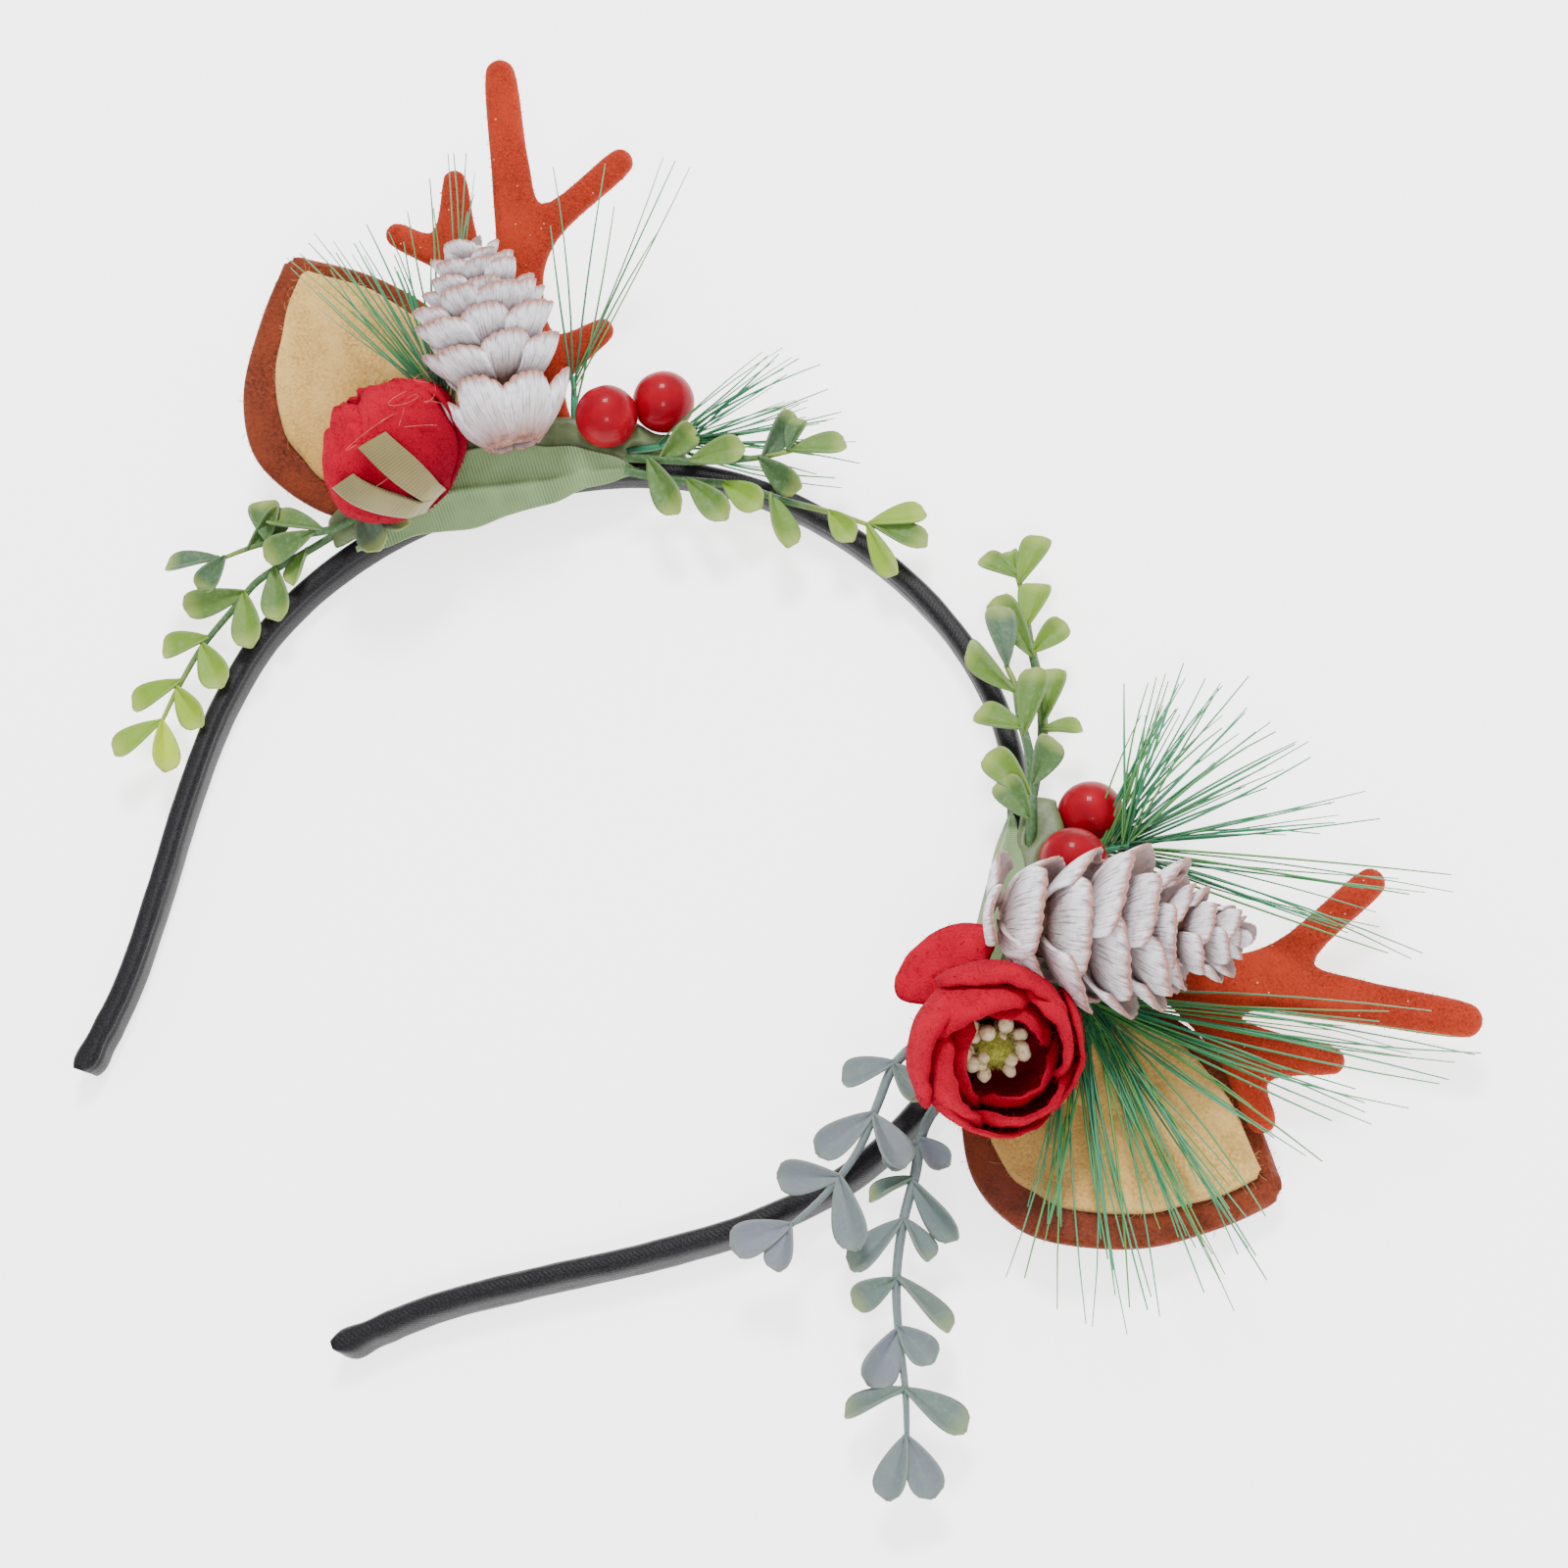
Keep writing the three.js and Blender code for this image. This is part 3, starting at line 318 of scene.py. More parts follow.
def add_node(tree: bpy.types.NodeTree, kind: str, inputs: dict | None = None,
             stops: Sequence[tuple[float, str]] = (), **settings: object) -> bpy.types.Node:
    """Adds one node.

    Args:
        tree: the tree it goes into.
        kind: the node's type.
        inputs: a value or another node's output socket for each input, by name or number.
        stops: the places and hex colours of a colour ramp.
        settings: the node's own settings.

    Returns:
        The node.
    """
    made = tree.nodes.new(kind)
    for key, value in settings.items():
        setattr(made, key, value)
    for key, value in (inputs or {}).items():
        if isinstance(value, bpy.types.NodeSocket):
            tree.links.new(value, made.inputs[key])
        else:
            made.inputs[key].default_value = value
    for i, (place, text) in enumerate(stops):
        ramp = made.color_ramp.elements
        stop = ramp[i] if i < len(ramp) else ramp.new(place)
        stop.position, stop.color = place, colour(text)
    return made


def bake(source: bpy.types.Object) -> bpy.types.Object:
    """Turns what an object's modifiers make into a plain mesh object of the same name."""
    graph = bpy.context.evaluated_depsgraph_get()
    mesh = bpy.data.meshes.new_from_object(source.evaluated_get(graph), depsgraph=graph)
    name = source.name
    old = source.data
    bpy.data.objects.remove(source)
    (bpy.data.meshes if isinstance(old, bpy.types.Mesh) else bpy.data.curves).remove(old)
    mesh.name = name
    made = bpy.data.objects.new(name, mesh)
    bpy.context.scene.collection.objects.link(made)
    return made


def new_tree(name: str, sizes: dict[str, float]) -> tuple[bpy.types.NodeTree, bpy.types.Node]:
    """Starts a Geometry Nodes tree.

    Args:
        name: the tree's name.
        sizes: its named number inputs and their usual values.

    Returns:
        The tree and its group input node.
    """
    tree = bpy.data.node_groups.new(name, "GeometryNodeTree")
    tree.interface.new_socket("Geometry", in_out="INPUT", socket_type="NodeSocketGeometry")
    tree.interface.new_socket("Geometry", in_out="OUTPUT", socket_type="NodeSocketGeometry")
    for key, value in sizes.items():
        tree.interface.new_socket(key, in_out="INPUT", socket_type="NodeSocketFloat").default_value = value
    return tree, add_node(tree, "NodeGroupInput")


def close_tree(tree: bpy.types.NodeTree, geometry: bpy.types.NodeSocket, material: bpy.types.Material) -> None:
    """Ends a tree in Realize Instances, Set Material and the group's output."""
    real = add_node(tree, "GeometryNodeRealizeInstances", {"Geometry": geometry})
    dressed = add_node(tree, "GeometryNodeSetMaterial", {"Geometry": real.outputs[0], "Material": material})
    add_node(tree, "NodeGroupOutput", {0: dressed.outputs[0]})


def run_tree(target: bpy.types.Object, tree: bpy.types.NodeTree, sizes: dict[str, float]) -> bpy.types.Object:
    """Runs a tree on an object with the given sizes and returns the plain mesh it makes."""
    modifier = target.modifiers.new(tree.name, "NODES")
    modifier.node_group = tree
    for item in tree.interface.items_tree:
        if item.in_out == "INPUT" and item.name in sizes:
            modifier[item.identifier] = sizes[item.name]
    return bake(target)


@dataclass(frozen=True)
class Fibres:
    """Loose fibres that stand off a cloth or a flocked surface, grown by Geometry Nodes."""

    name: str
    per_mm2: float
    length: float
    radius: float
    spread: float
    bend: float = 0.35
    seed: int = 1

    def grown(self, source: bpy.types.Object, material: bpy.types.Material) -> bpy.types.Object:
        """Grows the fibres.

        Args:
            source: the surface they stand on.
            material: their finish.

        Returns:
            One mesh with all of them.
        """
        sizes = {"Density": 3.0, "Length": 1.0, "Radius": 0.04, "Spread": 0.5, "Bend": 0.3}
        tree, start = new_tree("fibres", sizes)
        spots = add_node(tree, "GeometryNodeDistributePointsOnFaces", {
            "Mesh": start.outputs["Geometry"], "Density": start.outputs["Density"], "Seed": self.seed})
        side = add_node(tree, "ShaderNodeCombineXYZ", {"X": start.outputs["Bend"], "Z": 0.5})
        end = add_node(tree, "ShaderNodeCombineXYZ", {"X": start.outputs["Bend"], "Y": start.outputs["Bend"], "Z": 1.0})
        line = add_node(tree, "GeometryNodeCurveQuadraticBezier", {
            "Resolution": 2, "Start": (0, 0, -0.15), "Middle": side.outputs[0], "End": end.outputs[0]})
        ring = add_node(tree, "GeometryNodeCurvePrimitiveCircle", {"Resolution": 3, "Radius": start.outputs["Radius"]})
        hair = add_node(tree, "GeometryNodeCurveToMesh", {
            "Curve": line.outputs[0], "Profile Curve": ring.outputs[0], "Fill Caps": True})
        low = add_node(tree, "ShaderNodeMath", {0: start.outputs["Spread"], 1: -1.0}, operation="MULTIPLY")
        lows = add_node(tree, "ShaderNodeCombineXYZ", {0: low.outputs[0], 1: low.outputs[0], 2: -3.14})
        highs = add_node(tree, "ShaderNodeCombineXYZ", {0: start.outputs["Spread"], 1: start.outputs["Spread"], 2: 3.14})
        tilt = add_node(tree, "FunctionNodeRandomValue", {
            "Min": lows.outputs[0], "Max": highs.outputs[0], "Seed": self.seed + 7}, data_type="FLOAT_VECTOR")
        turn = add_node(tree, "FunctionNodeEulerToRotation", {0: tilt.outputs["Value"]})
        stand = add_node(tree, "FunctionNodeRotateRotation", {
            "Rotation": spots.outputs["Rotation"], "Rotate By": turn.outputs[0]}, rotation_space="LOCAL")
        share = add_node(tree, "FunctionNodeRandomValue", {"Seed": self.seed + 3})
        least = add_node(tree, "ShaderNodeMath", {0: start.outputs["Length"], 1: 0.4}, operation="MULTIPLY")
        size = add_node(tree, "ShaderNodeMapRange", {
            "Value": share.outputs[1], "To Min": least.outputs[0], "To Max": start.outputs["Length"]})
        hairs = add_node(tree, "GeometryNodeInstanceOnPoints", {
            "Points": spots.outputs["Points"], "Instance": hair.outputs[0], "Rotation": stand.outputs[0],
            "Scale": size.outputs[0]})
        close_tree(tree, hairs.outputs[0], material)
        copy = bpy.data.objects.new(self.name, source.data.copy())
        bpy.context.scene.collection.objects.link(copy)
        return run_tree(copy, tree, {
            "Density": self.per_mm2 / MM**2, "Length": self.length * MM, "Radius": self.radius / self.length,
            "Spread": self.spread, "Bend": self.bend})


def scattered(name: str, piece: Shape, spots: Sequence[tuple[Matrix, Vector, float]],
              material: bpy.types.Material) -> bpy.types.Object:
    """Sets copies of one small shape at given places with Geometry Nodes.

    Args:
        name: the name of the result.
        piece: the shape, in units of its own size.
        spots: for each copy its place and turn in the row frame, its size along each axis in metres and its tint.
        material: the finish of the copies.

    Returns:
        One mesh, on which each copy carries its own "tint".
    """
    original = piece.made(f"{name}_one", material)
    mesh = bpy.data.meshes.new(name)
    mesh.from_pydata([m.to_translation() for m, _, _ in spots], [], [])
    for key, kind, rows in (("turn", "FLOAT_VECTOR", [tuple(m.to_euler()) for m, _, _ in spots]),
                            ("size", "FLOAT_VECTOR", [tuple(s) for _, s, _ in spots])):
        mesh.attributes.new(key, kind, "POINT").data.foreach_set("vector", np.array(rows, np.float32).ravel())
    mesh.attributes.new("tint", "FLOAT", "POINT").data.foreach_set("value", [t for _, _, t in spots])
    points = bpy.data.objects.new(name, mesh)
    bpy.context.scene.collection.objects.link(points)
    tree, start = new_tree("scatter", {})
    one = add_node(tree, "GeometryNodeObjectInfo", {"Object": original})
    turn = add_node(tree, "GeometryNodeInputNamedAttribute", {"Name": "turn"}, data_type="FLOAT_VECTOR")
    size = add_node(tree, "GeometryNodeInputNamedAttribute", {"Name": "size"}, data_type="FLOAT_VECTOR")
    spin = add_node(tree, "FunctionNodeEulerToRotation", {0: turn.outputs[0]})
    copies = add_node(tree, "GeometryNodeInstanceOnPoints", {
        "Points": start.outputs["Geometry"], "Instance": one.outputs["Geometry"], "Rotation": spin.outputs[0],
        "Scale": size.outputs[0]})
    close_tree(tree, copies.outputs[0], material)
    made = run_tree(points, tree, {})
    bpy.data.objects.remove(original)
    return made


@dataclass(frozen=True)
class Strand:
    """One thin strand: its points in the row frame, in metres, its radius and its tint."""

    path: np.ndarray
    radius: float
    tint: float


def strands(name: str, rows: Sequence[Strand], material: bpy.types.Material) -> bpy.types.Object:
    """Draws strands as thin tapering tubes with Geometry Nodes.

    Args:
        name: the name of the result.
        rows: the strands.
        material: their finish.

    Returns:
        One mesh with all the strands, each carrying its own "tint" and its "along" from root to tip.
    """
    points, edges, thick, tint, along = [], [], [], [], []
    for row in rows:
        first, count = len(points), len(row.path)
        points += [tuple(p) for p in row.path]
        edges += [(first + i, first + i + 1) for i in range(count - 1)]
        share = np.linspace(0, 1, count)
        thick += list(row.radius * (1 - 0.55 * share**2))
        tint += [row.tint] * count
        along += list(share)
    mesh = bpy.data.meshes.new(name)
    mesh.from_pydata(points, edges, [])
    for key, values in (("thick", thick), ("tint", tint), ("along", along)):
        mesh.attributes.new(key, "FLOAT", "POINT").data.foreach_set("value", values)
    lines = bpy.data.objects.new(name, mesh)
    bpy.context.scene.collection.objects.link(lines)
    tree, start = new_tree("strands", {"Fullness": 1.0})
    curve = add_node(tree, "GeometryNodeMeshToCurve", {"Mesh": start.outputs["Geometry"]})
    width = add_node(tree, "GeometryNodeInputNamedAttribute", {"Name": "thick"}, data_type="FLOAT")
    full = add_node(tree, "ShaderNodeMath", {0: width.outputs[0], 1: start.outputs["Fullness"]}, operation="MULTIPLY")
    sized = add_node(tree, "GeometryNodeSetCurveRadius", {"Curve": curve.outputs[0], "Radius": full.outputs[0]})
    ring = add_node(tree, "GeometryNodeCurvePrimitiveCircle", {"Resolution": 4, "Radius": 1.0})
    drawn = add_node(tree, "GeometryNodeCurveToMesh", {
        "Curve": sized.outputs[0], "Profile Curve": ring.outputs[0], "Fill Caps": True})
    if "Scale" in drawn.inputs:
        tree.links.new(full.outputs[0], drawn.inputs["Scale"])
    close_tree(tree, drawn.outputs[0], material)
    return run_tree(lines, tree, {"Fullness": 1.0})


def settle(made: bpy.types.Object, replaces: Sequence[str] = ()) -> bpy.types.Object:
    """Lays a finished piece on the table's top, hands it to the frame and hides the solids it replaces."""
    points = np.zeros(len(made.data.vertices) * 3, np.float32)
    made.data.vertices.foreach_get("co", points)
    points[2::3] = np.maximum(points[2::3], 0)
    made.data.vertices.foreach_set("co", points)
    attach(made, ROOT)
    if replaces:
        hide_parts(*replaces)
    LOG.info("%s: %d triangles", made.name, sum(len(p.vertices) - 2 for p in made.data.polygons))
    return made


# Finishes

@dataclass(frozen=True)
class Finish:
    """A material made of nodes; each kind of finish fills in its own colours and relief."""

    name: str

    def begin(self) -> tuple[bpy.types.Material, bpy.types.NodeTree, bpy.types.Node]:
        """Starts the material with its shader and output."""
        material = bpy.data.materials.new(self.name)
        material.use_nodes = True
        tree = material.node_tree
        tree.nodes.clear()
        shader = add_node(tree, "ShaderNodeBsdfPrincipled")
        add_node(tree, "ShaderNodeOutputMaterial", {"Surface": shader.outputs[0]})
        return material, tree, shader

    @staticmethod
    def noise(tree: bpy.types.NodeTree, size_mm: float, detail: float = 3.0,
              squeeze: Point = (1, 1, 1)) -> bpy.types.NodeSocket:
        """Noise on object coordinates with features of a given size, squeezed along each axis."""
        place = add_node(tree, "ShaderNodeTexCoord")
        scaled = add_node(tree, "ShaderNodeMapping", {"Vector": place.outputs["Object"], "Scale": squeeze})
        made = add_node(tree, "ShaderNodeTexNoise", {
            "Vector": scaled.outputs[0], "Scale": 1 / (size_mm * MM), "Detail": detail})
        return made.outputs["Fac"]

    @staticmethod
    def mix(tree: bpy.types.NodeTree, share: bpy.types.NodeSocket | float, low: object, high: object,
            blend: str = "MIX") -> bpy.types.NodeSocket:
        """Mixes two colours, each a hex text or a socket."""
        pair = [colour(x) if isinstance(x, str) else x for x in (low, high)]
        made = add_node(tree, "ShaderNodeMix", {0: share, 6: pair[0], 7: pair[1]}, data_type="RGBA", blend_type=blend)
        return made.outputs[2]

    @staticmethod
    def stretch(tree: bpy.types.NodeTree, value: bpy.types.NodeSocket, low: float, high: float) -> bpy.types.NodeSocket:
        """Stretches the part of a value from low to high over zero to one."""
        return add_node(tree, "ShaderNodeMapRange", {"Value": value, "From Min": low, "From Max": high}).outputs[0]

    @staticmethod
    def bump(tree: bpy.types.NodeTree, height: bpy.types.NodeSocket, depth_mm: float, strength: float,
             under: bpy.types.NodeSocket | None = None) -> bpy.types.NodeSocket:
        """Relief of a given depth, laid over another relief if there is one."""
        inputs = {"Height": height, "Distance": depth_mm * MM, "Strength": strength}
        if under is not None:
            inputs["Normal"] = under
        return add_node(tree, "ShaderNodeBump", inputs).outputs[0]

    @staticmethod
    def value(tree: bpy.types.NodeTree, name: str) -> bpy.types.NodeSocket:
        """A named value of the mesh."""
        return add_node(tree, "ShaderNodeAttribute", attribute_name=name).outputs["Fac"]

    @staticmethod
    def set_shader(tree: bpy.types.NodeTree, shader: bpy.types.Node, links: dict, **plain: float) -> None:
        """Links sockets to the shader and sets its plain numbers."""
        for key, socket in links.items():
            tree.links.new(socket, shader.inputs[key])
        for key, number in plain.items():
            shader.inputs[key.replace("_", " ")].default_value = number


@dataclass(frozen=True)
class BlackSatin(Finish):
    """Woven satin sewn round the band: near black, with a soft long sheen, a speckled weave and a seam line."""

    deep: str = "020203"
    worn: str = "201c23"
    thread_mm: float = 0.45

    def build(self) -> bpy.types.Material:
        """Builds the material. Its threads are drawn coarser than real ones, so that they show."""
        material, tree, shader = self.begin()
        place = add_node(tree, "ShaderNodeUVMap", uv_map=UV)
        turned = add_node(tree, "ShaderNodeMapping", {"Vector": place.outputs[0], "Rotation": (0, 0, 0.9)})
        threads = add_node(tree, "ShaderNodeTexWave", {
            "Vector": turned.outputs[0], "Scale": 1 / self.thread_mm / 3.1, "Distortion": 0.6, "Detail": 1.0})
        folds = self.noise(tree, 5, 4, (1, 1, 0.35))
        speckle = self.noise(tree, 0.3, 2)
        tone = self.mix(tree, self.stretch(tree, speckle, 0.42, 0.72), self.deep, self.worn)
        tone = self.mix(tree, self.value(tree, "seam"), tone, "000000")
        relief = self.bump(tree, folds, 0.35, 0.5)
        relief = self.bump(tree, threads.outputs["Fac"], 0.05, 0.35, relief)
        relief = self.bump(tree, speckle, 0.12, 0.5, relief)
        self.set_shader(tree, shader, {"Base Color": tone, "Normal": relief}, Roughness=0.48, Sheen_Weight=0.06,
                        Sheen_Roughness=0.4, Specular_IOR_Level=0.2)
        return material


@dataclass(frozen=True)
class Felt(Finish):
    """Pressed wool felt: dull, with a soft nap, matted fibres, slightly mottled dye and painted shade in its folds."""

    dark: str = "4a1c0e"
    light: str = "7c351c"
    nap: float = 0.12

    def build(self) -> bpy.types.Material:
        """Builds the material."""
        material, tree, shader = self.begin()
        fine, broad = self.noise(tree, 0.5, 6), self.noise(tree, 6, 3)
        tone = self.mix(tree, self.stretch(tree, fine, 0.3, 0.7), self.dark, self.light)
        tone = self.mix(tree, self.stretch(tree, broad, 0.4, 0.75), tone, self.light)
        # painted shade: the felt's tone goes toward its dark colour along the ear's folds
        fold = add_node(tree, "ShaderNodeMath", {0: self.value(tree, "fold"), 1: 0.6}, operation="MULTIPLY")
        tone = self.mix(tree, fold.outputs[0], tone, self.dark)
        matted = add_node(tree, "ShaderNodeMath", {0: fine, 1: broad}, operation="ADD")
        relief = self.bump(tree, matted.outputs[0], 0.4, 0.7)
        self.set_shader(tree, shader, {"Base Color": tone, "Normal": relief}, Roughness=0.95,
                        Sheen_Weight=self.nap, Sheen_Roughness=0.55, Specular_IOR_Level=0.15)
        return material


@dataclass(frozen=True)
class RustFlock(Finish):
    """Short nylon flock on the moulded antlers: rust orange, velvety at grazing angles, with pale specks."""

    dark: str = "701c0e"
    light: str = "a5331c"
    speck: str = "e0a080"

    def build(self) -> bpy.types.Material:
        """Builds the material."""
        material, tree, shader = self.begin()
        nap, broad = self.noise(tree, 0.35, 5), self.noise(tree, 9, 2)
        tone = self.mix(tree, self.stretch(tree, nap, 0.3, 0.7), self.dark, self.light)
        tone = self.mix(tree, self.stretch(tree, broad, 0.45, 0.8), tone, self.light)
        place = add_node(tree, "ShaderNodeTexCoord")
        dots = add_node(tree, "ShaderNodeTexVoronoi", {"Vector": place.outputs["Object"], "Scale": 1 / (1.9 * MM)})
        near = self.stretch(tree, dots.outputs["Distance"], 0.075, 0.045)
        tone = self.mix(tree, near, tone, self.speck)
        relief = self.bump(tree, nap, 0.25, 0.6)
        self.set_shader(tree, shader, {"Base Color": tone, "Normal": relief}, Roughness=0.9, Sheen_Weight=0.2,
                        Sheen_Roughness=0.45, Specular_IOR_Level=0.15, Sheen_Tint=colour("e08a5c"))
        return material


@dataclass(frozen=True)
class WhitewashedWood(Finish):
    """Pine cone scales under chalky white paint: lavender white on top, bare pinkish brown at rims and below."""

    wash: str = "f0edf3"
    shade: str = "7a6c7a"
    bare: str = "a5776a"
    deep: str = "5b3a30"

    def build(self) -> bpy.types.Material:
        """Builds the material from each scale's own "along", "under" and UV."""
        material, tree, shader = self.begin()
        along, under = self.value(tree, "along"), self.value(tree, "under")
        grain = self.noise(tree, 1.2, 6)
        place = add_node(tree, "ShaderNodeUVMap", uv_map=UV)
        long = add_node(tree, "ShaderNodeMapping", {"Vector": place.outputs[0], "Scale": (46, 2.6, 1)})
        fan = add_node(tree, "ShaderNodeTexNoise", {"Vector": long.outputs[0], "Scale": 1.0, "Detail": 3.0})
        washed = self.mix(tree, self.stretch(tree, grain, 0.5, 1.0), self.wash, self.shade)
        lined = self.mix(tree, self.stretch(tree, fan.outputs["Fac"], 0.5, 0.3), washed, self.shade)
        brown_tone = self.mix(tree, self.stretch(tree, grain, 0.3, 0.7), self.deep, self.bare)
        rim = add_node(tree, "ShaderNodeMath", {0: grain, 1: 0.1}, operation="MULTIPLY")
        edge = add_node(tree, "ShaderNodeMath", {0: along, 1: rim.outputs[0]}, operation="ADD")
        tone = self.mix(tree, self.stretch(tree, edge.outputs[0], 0.93, 1.03), lined, self.bare)
        # each scale turns to the dark brown tone toward its root
        tone = self.mix(tree, self.stretch(tree, along, 0.75, 0.1), tone, brown_tone)
        tone = self.mix(tree, under, tone, self.mix(tree, 0.25, brown_tone, washed))
        relief = self.bump(tree, fan.outputs["Fac"], 0.3, 0.8)
        relief = self.bump(tree, grain, 0.2, 0.4, relief)
        self.set_shader(tree, shader, {"Base Color": tone, "Normal": relief}, Roughness=0.85, Specular_IOR_Level=0.25)
        return material


@dataclass(frozen=True)
class NappedPetal(Finish):
    """Brushed red petal cloth: velvety and bright at the edges, with painted shade in deep crimson where the petals
    close in.
    """

    dark: str = "50000e"
    middle: str = "86001a"
    bright: str = "b40428"

    def build(self) -> bpy.types.Material:
        """Builds the material from the petals' "depth", which is one deep inside the flower, where it paints shade."""
        material, tree, shader = self.begin()
        nap, broad, depth = self.noise(tree, 0.4, 6), self.noise(tree, 4, 3), self.value(tree, "depth")
        tone = self.mix(tree, self.stretch(tree, nap, 0.2, 0.8), self.middle, self.bright)
        tone = self.mix(tree, self.stretch(tree, broad, 0.4, 0.8), tone, self.bright)
        # painted shade: deep crimson toward the petal bases, inside the flower
        tone = self.mix(tree, depth, tone, self.dark)
        rim = add_node(tree, "ShaderNodeMath", {0: self.value(tree, "edge"), 1: 0.3}, operation="MULTIPLY")
        tone = self.mix(tree, rim.outputs[0], tone, self.dark)
        relief = self.bump(tree, nap, 0.45, 0.9)
        relief = self.bump(tree, broad, 0.5, 0.3, relief)
        self.set_shader(tree, shader, {"Base Color": tone, "Normal": relief}, Roughness=0.9, Sheen_Weight=0.12,
                        Sheen_Roughness=0.4, Specular_IOR_Level=0.06, Sheen_Tint=colour("e8304a"))
        return material


@dataclass(frozen=True)
class WovenCloth(Finish):
    """Plain woven cloth or ribbon, with its warp and weft drawn on the piece's own UV."""

    dark: str = "4a4326"
    light: str = "776c40"
    threads: float = 26
    gloss: float = 0.55
    depth_mm: float = 0.06

    def build(self) -> bpy.types.Material:
        """Builds the material. Its threads are drawn coarser than real ones, so that they show."""
        material, tree, shader = self.begin()
        place = add_node(tree, "ShaderNodeUVMap", uv_map=UV)
        pair = [add_node(tree, "ShaderNodeTexWave", {
            "Vector": place.outputs[0], "Scale": self.threads / 3.14, "Distortion": 0.4}, bands_direction=axis)
            for axis in ("X", "Y")]
        weave = add_node(tree, "ShaderNodeMath", {0: pair[0].outputs["Fac"], 1: pair[1].outputs["Fac"]},
                         operation="MAXIMUM")
        broad = self.noise(tree, 5, 3)
        tone = self.mix(tree, self.stretch(tree, weave.outputs[0], 0.2, 0.9), self.dark, self.light)
        tone = self.mix(tree, self.stretch(tree, broad, 0.35, 0.75), tone, self.light)
        relief = self.bump(tree, weave.outputs[0], self.depth_mm, 0.5)
        relief = self.bump(tree, broad, 0.6, 0.5, relief)
        self.set_shader(tree, shader, {"Base Color": tone, "Normal": relief}, Roughness=self.gloss,
                        Sheen_Weight=0.15, Sheen_Roughness=0.4, Specular_IOR_Level=0.35)
        return material


@dataclass(frozen=True)
class FrostedLeafPlastic(Finish):
    """Soft moulded polythene leaves under a dusty frost: grey green, fading to yellow green at the tips."""

    tip: str = "aebc48"
    frost: str = "76886e"

    def build(self) -> bpy.types.Material:
        """Builds the material from each leaf's "along" and its own "tint"."""
        material, tree, shader = self.begin()
        along, tint, dust = self.value(tree, "along"), self.value(tree, "tint"), self.noise(tree, 0.8, 5)
        ramp = add_node(tree, "ShaderNodeValToRGB", {"Fac": tint}, stops=(
            (0.0, "a6ba0a"), (0.25, "76981a"), (0.5, "35562c"), (0.8, "5f6c6e"), (1.0, "767288")))
        edge = self.mix(tree, self.stretch(tree, along, 0.7, 1.25), ramp.outputs[0], self.tip)
        plain = self.mix(tree, self.stretch(tree, tint, 0.65, 0.8), edge, ramp.outputs[0])
        tone = self.mix(tree, self.stretch(tree, dust, 0.5, 1.1), plain, self.frost)
        rim = self.stretch(tree, self.value(tree, "edge"), 0.78, 1.55)
        tone = self.mix(tree, rim, tone, self.frost)
        relief = self.bump(tree, dust, 0.1, 0.4)
        self.set_shader(tree, shader, {"Base Color": tone, "Normal": relief}, Roughness=0.6,
                        Subsurface_Weight=0.12, Subsurface_Scale=0.001, Specular_IOR_Level=0.35)
        return material


@dataclass(frozen=True)
class NeedlePlastic(Finish):
    """Thin drawn polythene strands: dark bluish green at the root, paler and half clear at the tips."""

    root: str = "083f24"
    tip: str = "2c9468"

    def build(self) -> bpy.types.Material:
        """Builds the material from each strand's "along" and "tint"."""
        material, tree, shader = self.begin()
        along, tint = self.value(tree, "along"), self.value(tree, "tint")
        tone = self.mix(tree, self.stretch(tree, along, 0.0, 0.9), self.root, self.tip)
        tone = self.mix(tree, tint, tone, "4d8a3a")
        self.set_shader(tree, shader, {"Base Color": tone}, Roughness=0.38, Subsurface_Weight=0.15,
                        Subsurface_Scale=0.0006, Specular_IOR_Level=0.45)
        return material


@dataclass(frozen=True)
class LacqueredBerry(Finish):
    """Lacquered foam berries: deep clear red with a wet gloss over faint ridges."""

    red: str = "960018"
    deep: str = "740012"

    def build(self) -> bpy.types.Material:
        """Builds the material."""
        material, tree, shader = self.begin()
        broad = self.noise(tree, 5, 3)
        tone = self.mix(tree, self.stretch(tree, broad, 0.35, 0.7), self.red, self.deep)
        relief = self.bump(tree, broad, 0.25, 0.35)
        self.set_shader(tree, shader, {"Base Color": tone, "Normal": relief}, Roughness=0.4, Coat_Weight=0.1,
                        Coat_Roughness=0.03, Specular_IOR_Level=0.06)
        return material


@dataclass(frozen=True)
class SpeckledPlastic(Finish):
    """Matte material mottled between two tones, such as set glue, stamens or a cone's bare core."""

    dark: str = "8f8468"
    light: str = "c9bf9d"
    grain_mm: float = 1.2
    gloss: float = 0.5

    def build(self) -> bpy.types.Material:
        """Builds the material."""
        material, tree, shader = self.begin()
        grain = self.noise(tree, self.grain_mm, 5)
        tone = self.mix(tree, self.stretch(tree, grain, 0.3, 0.7), self.dark, self.light)
        relief = self.bump(tree, grain, 0.3, 0.5)
        self.set_shader(tree, shader, {"Base Color": tone, "Normal": relief}, Roughness=self.gloss,
                        Specular_IOR_Level=0.35)
        return material


